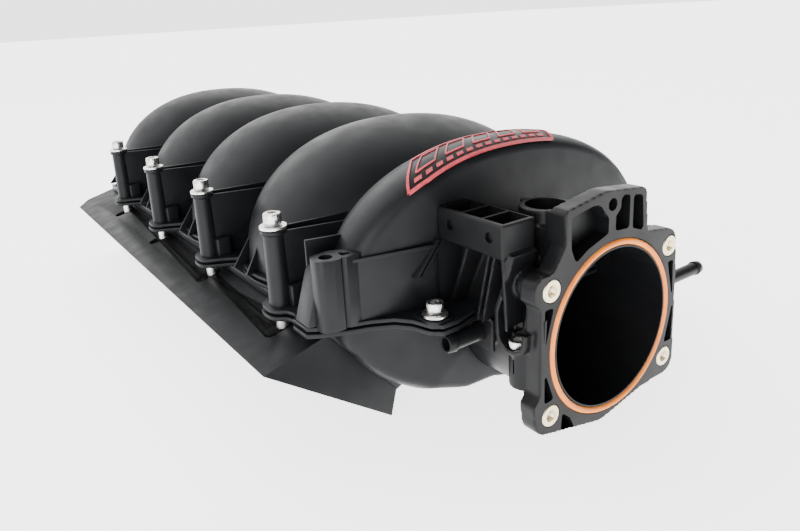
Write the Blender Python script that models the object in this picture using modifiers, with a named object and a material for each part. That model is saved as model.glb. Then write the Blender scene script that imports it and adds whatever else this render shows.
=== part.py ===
"""Two-shell V8 intake manifold: casings, head rails, throttle neck, runners, seals and fasteners.

Sizes are in millimetres from the manifold's datum: X = 0 on the centre plane, Y = 0 on the
throttle flange face with +Y towards the rear, Z = 0 on the throttle bore axis.
"""
import math

import bmesh
import bpy
from mathutils import Matrix, Vector

MM = 0.001
GAP = 0.3
WALL = 4.0

# Driving dimensions
PORT_PITCH = 111.76
PORT_COUNT = 4
LEFT_PORT_Y = 182.8
RIGHT_PORT_Y = 158.7
BOLT_LEAD = PORT_PITCH / 2
BOLT_X = 133.4
RAIL_LEAD = 89.8
RAIL_LENGTH = 468.0
BORE_RADIUS = 44.4
NECK_RADIUS = 50.0
SHELL_FRONT_Y = 66.0
SHELL_REAR_Y = 550.0
SEAM_Z = 10.0
SEAM_GAP = 1.4

# Runner arches: a super-ellipse in the cross-section, and an arc along the manifold
ARCH_CENTRE_X = -10.5
ARCH_LEFT = 111.5
ARCH_RIGHT = 128.0
ARCH_HEIGHT = 89.0
ARCH_POWER = 2.2
ARCH_ARC = 75.0
REAR_END_ARC = 46.0
DOME_Y = 81.4
DOME_HEIGHT = 86.0
DOME_FRONT_ARC = 27.0
DOME_REAR_ARC = 58.0
FRONT_SLANT = 0.24
FRONT_SLANT_X = -70.0
FRONT_SLANT_RUN = 45.0
RUNNER_INSET = 27.0
RUNNER_DEPTH = 17.0
RUNNER_WIDTH = 16.0
SIDES = {"left": -1, "right": 1}

# Head rail cross-section, left side: a wedge between the head face and the plenum trough
RAIL_EDGE = (-163.0, -9.6)
RAIL_SHOULDER = (-124.0, 0.9)
RAIL_HEEL = (-80.0, -49.1)
RAIL_TOE = (-84.5, -65.6)
PORT_SHIFT = 10.0
PORT_HEIGHT = 44.0
PORT_WIDTH = 30.0

# The belly bulges out in front of the left rail
BELLY_BULGE = 9.0
BELLY_ROWS = (72.0, 78.0, 83.0, 86.0)

# Fasteners
BOSS_RADIUS = 6.5
BOSS_FOOT_Z = 8.0
BOSS_TOP_Z = 57.2
RIGHT_BOSS_TOP_Z = 50.0
RIGHT_FRONT_BOSS_TOP_Z = 24.0
BOLT_SHANK = 3.0
BOLT_HOLE = 4.2
WASHER_THICKNESS = 1.6
WASHER_RADIUS = 7.8
BADGE_FRONT_ANGLES = (141.0, 62.0)
BADGE_REAR_ANGLES = (135.0, 72.0)
BADGE_YS = (67.0, 92.0)
FREE_BOSS_HOLE = 3.7
FREE_BOSS = (-126.5, 82.0, 50.3)
SCREW_PLACES = ((-80.0, 52.0), (80.0, 52.0), (-50.0, 557.0), (50.0, 557.0))
LUG_WALL_YS = (69.0, 69.0, 547.0, 547.0)
SCREW_HOLE = 3.4
LUG_REACH = 8.0
LUG_TOP_Z = 13.5
NECK_SCREW = (-55.4, 16.0, 0.5)
NECK_POST_RADIUS = 8.6
INSERT_X = 48.1
INSERT_Z = 34.5
INSERT_RADIUS = 6.1
INSERT_DEPTH = 11.0
SEAL_RADIUS = 47.4
SEAL_THICKNESS = 3.6
SEAL_SET = 0.9
FLANGE_THICKNESS = 10.0

# Hose nipples: place along the neck, height, reach beyond the neck, barb radius
NIPPLES = {"left": (44.0, 0.0, 24.0, 5.6), "right": (24.0, -4.0, 63.0, 4.7)}

LOWEST_Z = RAIL_TOE[1]
REAR_END_Y = SCREW_PLACES[-1][1] + LUG_REACH
FRONT_END_Y = SEAL_SET - SEAL_THICKNESS / 2

for old in list(bpy.data.objects):
    bpy.data.objects.remove(old, do_unlink=True)

PARTS = bpy.data.collections.new("intake_manifold")
CUTTERS = bpy.data.collections.new("cutters")
bpy.context.scene.collection.children.link(PARTS)
bpy.context.scene.collection.children.link(CUTTERS)

DATUM = bpy.data.objects.new("manifold_datum", None)
DATUM.location = Vector((0, -(REAR_END_Y + FRONT_END_Y) / 2, -LOWEST_Z)) * MM
PARTS.objects.link(DATUM)

FACE_ON_Y = Matrix.Rotation(math.pi / 2, 4, "X")


def finish(name, colour, roughness, metallic=0.0):
    """One Principled material."""
    material = bpy.data.materials.new(name)
    material.use_nodes = True
    shader = material.node_tree.nodes["Principled BSDF"]
    shader.inputs["Base Color"].default_value = (*colour, 1)
    shader.inputs["Roughness"].default_value = roughness
    shader.inputs["Metallic"].default_value = metallic
    return material


def at(x, y, z):
    """A move in millimetres."""
    return Matrix.Translation(Vector((x, y, z)) * MM)


def baked(obj):
    """The evaluated mesh of a helper object, welded, in world space. The helper is removed."""
    bpy.context.view_layer.update()
    depsgraph = bpy.context.evaluated_depsgraph_get()
    mesh = bpy.data.meshes.new_from_object(obj.evaluated_get(depsgraph))
    mesh.transform(obj.matrix_world)
    bpy.data.objects.remove(obj, do_unlink=True)
    work = bmesh.new()
    work.from_mesh(mesh)
    bmesh.ops.remove_doubles(work, verts=work.verts, dist=0.000002)
    bmesh.ops.recalc_face_normals(work, faces=work.faces)
    if work.calc_volume(signed=True) < 0:
        bmesh.ops.reverse_faces(work, faces=work.faces)
    work.to_mesh(mesh)
    work.free()
    return mesh


def helper(data):
    obj = bpy.data.objects.new("helper", data)
    obj.hide_render = True
    obj.display_type = "WIRE"
    CUTTERS.objects.link(obj)
    return obj


def part(name, mesh, material):
    """A finished piece: one node of the manifold."""
    mesh.name = name
    mesh.shade_smooth()
    mesh.set_sharp_from_angle(angle=math.radians(32))
    mesh.materials.clear()
    mesh.materials.append(material)
    obj = bpy.data.objects.new(name, mesh)
    PARTS.objects.link(obj)
    obj.parent = DATUM
    return obj


def parts(name, mesh, places, material):
    """The same piece at each place, numbered from 1."""
    for i, place in enumerate(places):
        copy = mesh.copy()
        copy.transform(place)
        part(f"{name}_{i + 1}", copy, material)


def prism(outlines, thickness, place=Matrix.Identity(4)):
    """Flat outlines in XY, holes inside, thickened to both sides of the plane."""
    curve = bpy.data.curves.new("outline", "CURVE")
    curve.dimensions = "2D"
    curve.fill_mode = "BOTH"
    curve.extrude = thickness / 2 * MM
    for outline in outlines:
        spline = curve.splines.new("POLY")
        spline.points.add(len(outline) - 1)
        for point, (u, v) in zip(spline.points, outline):
            point.co = (u * MM, v * MM, 0, 1)
        spline.use_cyclic_u = True
    obj = helper(curve)
    obj.matrix_world = place
    return baked(obj)


def box(low, high):
    """A block between two corners."""
    mesh = bpy.data.meshes.new("block")
    work = bmesh.new()
    size = [b - a for a, b in zip(low, high)]
    middle = [(a + b) / 2 for a, b in zip(low, high)]
    bmesh.ops.create_cube(work, size=MM, matrix=at(*middle) @ Matrix.Diagonal((*size, 1)))
    work.to_mesh(mesh)
    work.free()
    return mesh


def rod(radius, foot, top, steps=20):
    """A round bar between two points, as a cylinder."""
    start = Vector(foot) * MM
    line = Vector(top) * MM - start
    turn = line.to_track_quat("Z", "Y").to_matrix().to_4x4()
    place = Matrix.Translation(start + line / 2) @ turn
    mesh = bpy.data.meshes.new("rod")
    work = bmesh.new()
    bmesh.ops.create_cone(work, cap_ends=True, segments=steps, radius1=radius * MM,
                          radius2=radius * MM, depth=line.length, matrix=place)
    work.to_mesh(mesh)
    work.free()
    return mesh


def turned(profile, steps, closed=False):
    """A profile of (radius, height), top to bottom, turned about Z."""
    mesh = bpy.data.meshes.new("profile")
    edges = [(i, i + 1) for i in range(len(profile) - 1)]
    if closed:
        edges.append((len(profile) - 1, 0))
    mesh.from_pydata([(r * MM, 0, h * MM) for r, h in profile], edges, [])
    obj = helper(mesh)
    screw = obj.modifiers.new("turn", "SCREW")
    screw.steps = steps
    screw.render_steps = steps
    screw.use_merge_vertices = True
    screw.merge_threshold = 0.00001
    return baked(obj)


def group(meshes):
    """Several closed bodies in one mesh."""
    joined = bpy.data.meshes.new("group")
    work = bmesh.new()
    for mesh in meshes:
        work.from_mesh(mesh)
    work.to_mesh(joined)
    work.free()
    return joined


def copies(mesh, places):
    """One body at each place, as a group."""
    moved = []
    for place in places:
        copy = mesh.copy()
        copy.transform(place)
        moved.append(copy)
    return group(moved)


def boolean(base, tool, operation):
    obj = helper(base)
    cutter = helper(tool)
    modifier = obj.modifiers.new(operation.lower(), "BOOLEAN")
    modifier.operation = operation
    modifier.solver = "EXACT"
    modifier.object = cutter
    mesh = baked(obj)
    bpy.data.objects.remove(cutter, do_unlink=True)
    return mesh


def cut(base, tool):
    return boolean(base, tool, "DIFFERENCE")


def joined(base, *tools):
    for tool in tools:
        base = boolean(base, tool, "UNION")
    return base


def rounded(corners, steps=4):
    """An outline from (x, y, radius) corners, each turned through an arc."""
    outline = []
    for i, (x, y, radius) in enumerate(corners):
        corner = Vector((x, y))
        before = Vector(corners[i - 1][:2]) - corner
        after = Vector(corners[(i + 1) % len(corners)][:2]) - corner
        if radius == 0:
            outline.append(tuple(corner))
            continue
        before.normalize()
        after.normalize()
        half = before.angle(after) / 2
        centre = corner + (before + after).normalized() * radius / math.sin(half)
        start = corner + before * radius / math.tan(half) - centre
        end = corner + after * radius / math.tan(half) - centre
        turn = start.angle_signed(end)
        for step in range(steps + 1):
            arm = start.copy()
            arm.rotate(Matrix.Rotation(-turn * step / steps, 2))
            outline.append(tuple(centre + arm))
    return outline


def circle(radius, steps, x=0.0, y=0.0):
    return [(x + radius * math.cos(math.tau * i / steps), y + radius * math.sin(math.tau * i / steps))
            for i in range(steps)]


def port_ys(side):
    first = LEFT_PORT_Y if side == "left" else RIGHT_PORT_Y
    return [first + PORT_PITCH * i for i in range(PORT_COUNT)]


def bolt_ys(side):
    return [y - BOLT_LEAD for y in port_ys(side)]


def arches():
    """Each arch's crest, front arc, rear arc and height: the front dome, then one per port pair."""
    rows = [(DOME_Y, DOME_FRONT_ARC, DOME_REAR_ARC, DOME_HEIGHT)]
    for i, crest in enumerate(port_ys("left")):
        rear_arc = REAR_END_ARC if i == PORT_COUNT - 1 else ARCH_ARC
        rows.append((crest, ARCH_ARC, rear_arc, ARCH_HEIGHT))
    return rows


def arch_reach(angle, y):
    """Distance from the arch centre to the outer skin of the upper shell."""
    half = ARCH_LEFT if math.cos(angle) < 0 else ARCH_RIGHT
    reach = 0
    for crest, front_arc, rear_arc, height in arches():
        arc = front_arc if y < crest else rear_arc
        away = min(abs(y - crest), arc * 0.98)
        drop = arc - math.sqrt(arc ** 2 - away ** 2)
        share_x = abs(math.cos(angle)) / (half - drop)
        share_z = max(math.sin(angle), 0) / (height - drop)
        reach = max(reach, (share_x ** ARCH_POWER + share_z ** ARCH_POWER) ** (-1 / ARCH_POWER))
    return reach


def skin_x(side, z, y):
    """Where the upper shell's skin stands at a height, measured outwards from the centre plane."""
    low, high = 0.0, math.pi / 2
    for _ in range(30):
        middle = (low + high) / 2
        angle = middle if side == "right" else math.pi - middle
        if SEAM_Z + math.sin(middle) * arch_reach(angle, y) < z:
            low = middle
        else:
            high = middle
    angle = low if side == "right" else math.pi - low
    return abs(ARCH_CENTRE_X + math.cos(angle) * arch_reach(angle, y))


def slanted(x, y):
    """The front wall swings back towards the left, and the rows behind it follow."""
    swing = max(0.0, FRONT_SLANT_X - x) * FRONT_SLANT
    return y + swing * max(0.0, 1 - (y - SHELL_FRONT_Y) / FRONT_SLANT_RUN)


def shell(reach, angles, rows, pole_x, pole_z):
    """A closed-ended half shell from rows of reach(angle, y), thickened inwards."""
    ends = ((rows[0], 0.0), (rows[0], 0.55))
    stations = [*ends, *[(y, 1.0) for y in rows], (rows[-1], 0.55), (rows[-1], 0.0)]
    work = bmesh.new()
    grid = []
    for y, share in stations:
        ring = []
        for angle in angles:
            r = reach(angle, y) * share
            x = pole_x + math.cos(angle) * r
            spot = Vector((x, slanted(x, y), pole_z + math.sin(angle) * r)) * MM
            ring.append(work.verts.new(spot))
        grid.append(ring)
    for row, next_row in zip(grid, grid[1:]):
        for i in range(len(angles) - 1):
            work.faces.new((row[i], row[i + 1], next_row[i + 1], next_row[i]))
    bmesh.ops.remove_doubles(work, verts=work.verts, dist=0.00001)
    mesh = bpy.data.meshes.new("skin")
    work.to_mesh(mesh)
    work.free()
    obj = helper(mesh)
    solid = obj.modifiers.new("wall", "SOLIDIFY")
    solid.thickness = WALL * MM
    solid.offset = -1
    solid.use_even_offset = True
    return baked(obj)


def shell_rows():
    """Stations along the manifold, with one on every left crest and crease."""
    step = PORT_PITCH / 6
    first = LEFT_PORT_Y - PORT_PITCH
    inner = [first + step * i for i in range(30)]
    inner = [y for y in inner if BELLY_ROWS[-1] + 5 < y < SHELL_REAR_Y - 5]
    return [SHELL_FRONT_Y, *BELLY_ROWS, *inner, SHELL_REAR_Y]


def base_x(y):
    """Half width of the upper shell at the seam, left and right."""
    return arch_reach(math.pi, y) - ARCH_CENTRE_X, arch_reach(0, y) + ARCH_CENTRE_X


def bosses(side):
    """Places and top heights of one bank's bolt bosses."""
    tops = []
    for i, y in enumerate(bolt_ys(side)):
        top = BOSS_TOP_Z
        if side == "right":
            top = RIGHT_FRONT_BOSS_TOP_Z if i == 0 else RIGHT_BOSS_TOP_Z
        tops.append((SIDES[side] * BOLT_X, y, top))
    return tops


def lugs(low_z, high_z):
    """Screw lugs on the front and rear walls, between two heights."""
    blocks = []
    for (x, y), wall_y in zip(SCREW_PLACES, LUG_WALL_YS):
        low_y, high_y = min(y - LUG_REACH, wall_y), max(y + LUG_REACH, wall_y)
        blocks.append(box((x - LUG_REACH, low_y, low_z), (x + LUG_REACH, high_y, high_z)))
    return blocks


def screw_holes():
    return group([rod(SCREW_HOLE, (x, y, -30), (x, y, 40), 16) for x, y in SCREW_PLACES])


def across(outline, thickness, y):
    """A prism whose outline lies in XZ, centred on y."""
    return prism([outline], thickness, at(0, y, 0) @ FACE_ON_Y)


def side_web(side, y, top, foot, thickness):
    """A panel from a boss inwards to the shell's skin, following its curve."""
    sign = SIDES[side]
    heights = [foot + (top - foot) * i / 4 for i in range(5)]
    inner = [(sign * (skin_x(side, z, y) - WALL / 2), z) for z in heights]
    return across([(sign * BOLT_X, foot), *inner, (sign * BOLT_X, top)], thickness, y)


def build_upper_shell(material):
    over = math.radians(4)
    angles = [math.pi + over, *[math.pi * i / 20 for i in range(20, -1, -1)], -over]
    mesh = shell(arch_reach, angles, shell_rows(), ARCH_CENTRE_X, SEAM_Z)
    mesh = joined(mesh, *lugs(SEAM_Z - 2, LUG_TOP_Z))
    mesh = cut(mesh, box((-200, 0, -60), (200, 620, SEAM_Z)))
    mesh = cut(mesh, screw_holes())
    for side in SIDES:
        for x, y, top in bosses(side):
            mesh = joined(mesh, rod(BOSS_RADIUS, (x, y, BOSS_FOOT_Z), (x, y, top)),
                          side_web(side, y, top - 2, 13, 3.5))
            mesh = cut(mesh, rod(BOLT_HOLE, (x, y, 0), (x, y, 90), 16))
    x, y, top = FREE_BOSS
    flank = box((x, y - BOSS_RADIUS, SEAM_Z + 2), (x + 16, y + BOSS_RADIUS, top - 2))
    mesh = joined(mesh, rod(BOSS_RADIUS + 0.5, (x, y, SEAM_Z + 1), (x, y, top)), flank)
    mesh = cut(mesh, rod(FREE_BOSS_HOLE, (x, y, 30), (x, y, 90), 16))
    mesh = cut(mesh, rod(NECK_RADIUS + GAP, (0, 30, 0), (0, 90, 0), 40))
    part("upper_shell", mesh, material)


def trough_reach(angle, y, pole_z):
    """Distance from the pole to the outer skin of the lower shell."""
    direction = Vector((math.cos(angle), math.sin(angle)))
    inset = GAP * 1.4
    heel = Vector((RAIL_HEEL[0] + inset + 3.2, RAIL_HEEL[1] + inset + 4.0))
    slope = (RAIL_HEEL[1] - RAIL_SHOULDER[1]) / (RAIL_HEEL[0] - RAIL_SHOULDER[0])
    side_x = -117.2
    side_z = heel.y + (side_x - heel.x) * slope
    outline = [(side_x, 30), (side_x, side_z), heel, (-50, -54), (0, -56)]
    half = [Vector(p) for p in outline]
    aim = Vector((-abs(direction.x), direction.y))
    reach = 56.0
    for a, b in zip(half, half[1:]):
        edge = b - a
        start = a - Vector((0, pole_z))
        spread = aim.x * edge.y - aim.y * edge.x
        if abs(spread) < 1e-9:
            continue
        distance = (start.x * edge.y - start.y * edge.x) / spread
        share = (start.x * aim.y - start.y * aim.x) / spread
        if distance > 0 and -1e-6 <= share <= 1 + 1e-6:
            reach = distance
    z = pole_z + direction.y * reach
    left, right = base_x(y)
    rim = left if direction.x < 0 else right
    rim_share = max(0.0, min(1.0, (z + 8) / (SEAM_Z + 6)))
    rim_reach = rim / max(abs(direction.x), 0.2)
    reach = reach + (rim_reach - reach) * rim_share
    if direction.x < 0 and y < BELLY_ROWS[-1]:
        rise = math.sin(math.pi * max(0.0, min(1.0, (4 - z) / 50)))
        reach += BELLY_BULGE * rise * (1 - max(0.0, (y - BELLY_ROWS[0]) / 14) ** 3)
    nose = max(0.0, min(1.0, (92 - y) / 34))
    depth = max(0.0, min(1.0, -(z + 2) / 36))
    return max(reach * (1 - depth * (1 - math.sqrt(1 - 0.25 * nose ** 2))), 70.5)


def port_places(side):
    """Each port's frame: local Z runs from the head face into the plenum, local X up the face."""
    along = Vector((RAIL_TOE[0] - RAIL_EDGE[0], 0, RAIL_TOE[1] - RAIL_EDGE[1])).normalized()
    inward = Vector((-along.z, 0, along.x))
    middle = Vector(((RAIL_EDGE[0] + RAIL_TOE[0]) / 2, 0, (RAIL_EDGE[1] + RAIL_TOE[1]) / 2))
    middle += along * PORT_SHIFT
    sign = SIDES[side]
    flip = Vector((-sign, 1, 1))
    places = []
    for y in port_ys(side):
        origin = middle * flip
        origin.y = y
        turn = Matrix((along * flip, (0, -sign, 0), inward * flip)).transposed().to_4x4()
        places.append(Matrix.Translation(origin * MM) @ turn)
    return places


def port_outline(grow=0.0):
    u = PORT_HEIGHT / 2 + grow
    v = PORT_WIDTH / 2 + grow
    r = 7 + grow
    return rounded([(-u, -v, r), (u, -v, r), (u, v, r), (-u, v, r)], 2)


def port_cutters(side):
    duct = prism([port_outline()], 120, at(0, 0, 0))
    return copies(duct, port_places(side))


def build_lower_shell(material):
    pole_z = SEAM_Z + 6
    angles = [math.pi * i / 14 for i in range(14, 29)]
    mesh = shell(lambda a, y: trough_reach(a, y, pole_z), angles, shell_rows(), 0, pole_z)
    mesh = joined(mesh, *lugs(SEAM_Z - 3.6, SEAM_Z + 2))
    mesh = cut(mesh, box((-200, 0, SEAM_Z - SEAM_GAP), (200, 620, 80)))
    mesh = cut(mesh, screw_holes())
    mesh = cut(mesh, rod(NECK_RADIUS + GAP, (0, 30, 0), (0, 90, 0), 40))
    for side in SIDES:
        mesh = cut(mesh, port_cutters(side))
    part("lower_shell", mesh, material)


def build_rail(side, material):
    sign = SIDES[side]
    start = port_ys(side)[0] - RAIL_LEAD
    outline = [RAIL_EDGE, RAIL_SHOULDER, RAIL_HEEL, RAIL_TOE]
    outline = [(-sign * u, v) for u, v in outline]
    mesh = across(outline, RAIL_LENGTH, start + RAIL_LENGTH / 2)
    mesh = cut(mesh, port_cutters(side))
    groove = cut(prism([port_outline(4.4)], 4.2), prism([port_outline(1.4)], 6))
    mesh = cut(mesh, copies(groove, port_places(side)))
    holes = [rod(BOLT_HOLE, (x, y, -60), (x, y, 40), 16) for x, y, top in bosses(side)]
    mesh = cut(mesh, group(holes))
    part(side + "_head_rail", mesh, material)


def build_port_seals(side, material):
    ring = cut(prism([port_outline(4.1)], 2.6), prism([port_outline(1.7)], 6))
    ring.transform(at(0, 0, 0.5))
    parts(side + "_port_seal", ring, port_places(side), material)


def flange_outline():
    return rounded([
        (-38.2, 56, 6), (-38.6, 72.6, 3), (-8, 77.2, 20), (24.6, 73.4, 4), (27.3, 48, 2),
        (53.6, 44, 9), (55.6, 20, 6), (57.6, -45.6, 9), (28, -46.8, 10), (-8, -54.2, 30),
        (-58.8, -42.6, 9), (-60.6, -26, 3), (-56.2, -21, 3), (-56.2, 27, 3), (-60.6, 31, 3),
        (-60.4, 43.4, 8), (-47, 43.4, 6)], 4)


def build_neck(material):
    mesh = across(flange_outline(), FLANGE_THICKNESS, FLANGE_THICKNESS / 2)
    top = 68.0
    bracket = box((-65, 16, 50), (-43, SHELL_FRONT_Y - GAP, top))
    ribs = [across([(-64, 51), (-44, 51), (-33, 34), (-47, 9), (-60, 12)], 3, y) for y in (19, 37, 55)]
    mesh = joined(mesh, rod(NECK_RADIUS, (0, 4, 0), (0, 78, 0), 40), bracket,
                  rod(14.5, (-20, 28, 25), (-20, 28, top), 28), *ribs)
    for side, sign in SIDES.items():
        y, z, reach, radius = NIPPLES[side]
        mesh = joined(mesh, rod(radius + 4, (sign * 44, y, z), (sign * 56, y, z), 20))
    x, y, seat = NECK_SCREW
    mesh = joined(mesh, rod(NECK_POST_RADIUS, (x + 4, y, seat - 22), (x + 4, y, seat)))
    mesh = cut(mesh, rod(SCREW_HOLE, (x, y, seat - 14), (x, y, seat + 1), 16))
    cells = [box((-62.5, y, 53), (-45.5, y + 11, 90)) for y in (18.5, 31.8, 45)]
    holes = [rod(2.6, (-80, y, 59), (-62, y, 59), 12) for y in (24, 37)]
    mesh = cut(mesh, group(cells))
    mesh = cut(mesh, group(holes))
    mesh = cut(mesh, rod(11.2, (-20, 28, 56), (-20, 28, 90), 28))
    mesh = cut(mesh, rod(BORE_RADIUS, (0, -20, 0), (0, 120, 0), 40))
    groove = turned([(SEAL_RADIUS + 2.1, 10), (SEAL_RADIUS + 2.1, -2.9), (SEAL_RADIUS - 2.1, -2.9),
                     (SEAL_RADIUS - 2.1, 10)], 40, True)
    groove.transform(FACE_ON_Y)
    mesh = cut(mesh, groove)
    sockets = [rod(INSERT_RADIUS + GAP, (x, -10, z), (x, 30, z), 20) for x, z in insert_places()]
    mesh = cut(mesh, group(sockets))
    mesh = cut(mesh, rod(3.4, (-3.6, -10, 69.2), (-3.6, 30, 69.2), 16))
    for side, sign in SIDES.items():
        y, z, reach, radius = NIPPLES[side]
        mesh = cut(mesh, rod(radius - 0.4, (sign * 49, y, z), (sign * 80, y, z), 16))
    part("throttle_neck", mesh, material)


def insert_places():
    return [(x, z) for x in (-INSERT_X, INSERT_X) for z in (-INSERT_Z, INSERT_Z)]


def build_inserts(material):
    sleeve = turned([(INSERT_RADIUS, 0), (INSERT_RADIUS, -INSERT_DEPTH), (2.6, -INSERT_DEPTH),
                     (2.6, 0)], 14, True)
    sleeve.transform(FACE_ON_Y)
    places = [at(x, -0.2, z) for x, z in insert_places()]
    parts("throttle_insert", sleeve, places, material)


def build_throttle_seal(material):
    section = circle(SEAL_THICKNESS / 2, 6, SEAL_RADIUS, -SEAL_SET)
    ring = turned(section[::-1], 40, True)
    ring.transform(FACE_ON_Y)
    part("throttle_seal", ring, material)


def build_bolts(side, bolt_material, washer_material):
    """M6 socket-head bolts with washers; the shanks run down through boss and rail."""
    seat = WASHER_THICKNESS + GAP
    for i, (x, y, top) in enumerate(bosses(side)):
        length = top + 26
        profile = [(0, 7.0 - 3.4), (2.9, 7.0 - 3.4), (2.9, 7.0), (4.6, 7.0), (5.1, 6.4), (5.1, 0),
                   (BOLT_SHANK, 0), (BOLT_SHANK, -length), (0, -length)]
        bolt = turned([(r, h + top + seat + GAP) for r, h in profile], 12)
        washer = turned([(WASHER_RADIUS, seat), (WASHER_RADIUS, GAP), (3.5, GAP), (3.5, seat)], 16, True)
        bolt.transform(at(x, y, 0))
        washer.transform(at(x, y, top))
        part(f"{side}_manifold_bolt_{i + 1}", bolt, bolt_material)
        part(f"{side}_bolt_washer_{i + 1}", washer, washer_material)


def build_shell_screws(screw_material, washer_material):
    seat = WASHER_THICKNESS + GAP
    profile = [(0, 2.6), (2.4, 2.6), (2.4, 6.0), (4.3, 6.0), (4.7, 5.5), (4.7, 0), (2.8, 0),
               (2.8, -10.4), (0, -10.4)]
    screw = turned([(r, h + seat + GAP) for r, h in profile], 12)
    washer = turned([(7.0, seat), (7.0, GAP), (3.3, GAP), (3.3, seat)], 16, True)
    places = [at(x, y, LUG_TOP_Z) for x, y in SCREW_PLACES]
    parts("shell_screw", screw, places, screw_material)
    parts("shell_screw_washer", washer, places, washer_material)
    short = [(0, 1.8), (2.4, 1.8), (2.4, 4.4), (4.3, 4.4), (4.7, 3.9), (4.7, 0), (2.8, 0), (2.8, -10), (0, -10)]
    neck_screw = turned(short, 12)
    x, y, seat = NECK_SCREW
    neck_screw.transform(at(x, y, seat + GAP))
    part("neck_screw", neck_screw, screw_material)


def build_shell_seal(material):
    """A strip in the seam, round the outside and up to the neck on both sides."""
    ys = shell_rows()
    inset = 0.6
    width = 2.8

    def loop(offset):
        ends = (SHELL_FRONT_Y + offset, SHELL_REAR_Y - offset)
        left = [(-base_x(y)[0] + offset, min(max(y, ends[0]), ends[1])) for y in ys]
        left = [(x, slanted(x, y)) for x, y in left]
        right = [(base_x(y)[1] - offset, min(max(y, ends[0]), ends[1])) for y in ys]
        return [(-54, ends[0]), (FRONT_SLANT_X, ends[0]), *left, *right[::-1], (54, ends[0])]

    outline = loop(inset) + loop(inset + width)[::-1]
    strip = prism([outline], SEAM_GAP - 2 * GAP, at(0, 0, SEAM_Z - SEAM_GAP / 2))
    part("shell_seal", strip, material)


def build_runner(side, port, material):
    """A curved tube from its head port, up the side and over towards the centre."""
    start = port_places("left")[0]
    entry = start @ (Vector((0, 0, 33.6)) * MM) / MM
    sign = SIDES[side]
    low_y, high_y = port_ys(side)[port], port_ys("left")[port]
    path = [Vector((-sign * entry.x, low_y, entry.z)), Vector((-sign * (entry.x + 4), low_y, entry.z + 10))]
    for step, degrees in enumerate((10, 28, 46, 62, 76)):
        angle = math.radians(degrees if side == "right" else 180 - degrees)
        r = arch_reach(angle, high_y) - RUNNER_INSET
        share = (step + 1) / 5
        path.append(Vector((ARCH_CENTRE_X + math.cos(angle) * r, low_y + (high_y - low_y) * share,
                            SEAM_Z + math.sin(angle) * r)))
    work = bmesh.new()
    rings = []
    steps = 10
    for i, spot in enumerate(path):
        ahead = path[min(i + 1, len(path) - 1)] - path[max(i - 1, 0)]
        ahead.y = 0
        out = Vector((ahead.z, 0, -ahead.x)).normalized()
        if i == 0:
            out = (start.to_3x3() @ Vector((1, 0, 0)))
            out.x *= -sign
        ring = []
        for k in range(steps):
            turn = math.tau * k / steps
            ring.append(work.verts.new((spot + out * RUNNER_DEPTH * math.cos(turn)
                                        + Vector((0, RUNNER_WIDTH * math.sin(turn), 0))) * MM))
        rings.append(ring)
    for a, b in zip(rings, rings[1:]):
        for k in range(steps):
            n = (k + 1) % steps
            work.faces.new((a[k], a[n], b[n], b[k]))
    bmesh.ops.recalc_face_normals(work, faces=work.faces)
    mesh = bpy.data.meshes.new("runner")
    work.to_mesh(mesh)
    work.free()
    obj = helper(mesh)
    solid = obj.modifiers.new("wall", "SOLIDIFY")
    solid.thickness = 2.0 * MM
    solid.offset = 0
    part(f"{side}_runner_{port + 1}", baked(obj), material)


def build_nipple(side, material):
    """A hose barb pressed into the side of the neck."""
    sign = SIDES[side]
    y, z, reach, radius = NIPPLES[side]
    bore = radius - 2
    shank = radius - 0.7
    profile = [(bore, reach), (radius - 1, reach), (radius, reach - 5), (shank, reach - 5.4),
               (shank, -6), (bore, -6)]
    barb = turned(profile, 14, True)
    lean = Matrix.Rotation(sign * math.pi / 2, 4, "Y")
    barb.transform(at(sign * 56.5, y, z) @ lean)
    part(side + "_vacuum_nipple", barb, material)


def build_badge(material):
    """A slanted nameplate blank that follows the front dome."""
    work = bmesh.new()
    columns, lanes = 14, 4
    layers = []
    for lift in (GAP, GAP + 1.4):
        grid = []
        for i in range(columns + 1):
            share = i / columns
            line = []
            for k in range(lanes + 1):
                rise = k / lanes
                low_angle, high_angle = [a + (b - a) * rise
                                         for a, b in zip(BADGE_FRONT_ANGLES, BADGE_REAR_ANGLES)]
                angle = math.radians(low_angle + (high_angle - low_angle) * share)
                y = BADGE_YS[0] + (BADGE_YS[1] - BADGE_YS[0]) * rise
                r = arch_reach(angle, y) + lift
                spot = Vector((ARCH_CENTRE_X + math.cos(angle) * r, y, SEAM_Z + math.sin(angle) * r)) * MM
                line.append(work.verts.new(spot))
            grid.append(line)
        layers.append(grid)
    low, high = layers
    for i in range(columns):
        for k in range(lanes):
            for g in (low, high):
                work.faces.new((g[i][k], g[i + 1][k], g[i + 1][k + 1], g[i][k + 1]))
    for i in range(columns):
        for k in (0, lanes):
            work.faces.new((low[i][k], low[i + 1][k], high[i + 1][k], high[i][k]))
    for k in range(lanes):
        for i in (0, columns):
            work.faces.new((low[i][k], low[i][k + 1], high[i][k + 1], high[i][k]))
    bmesh.ops.recalc_face_normals(work, faces=work.faces)
    mesh = bpy.data.meshes.new("badge")
    work.to_mesh(mesh)
    work.free()
    part("badge_plate", mesh, material)


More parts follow.
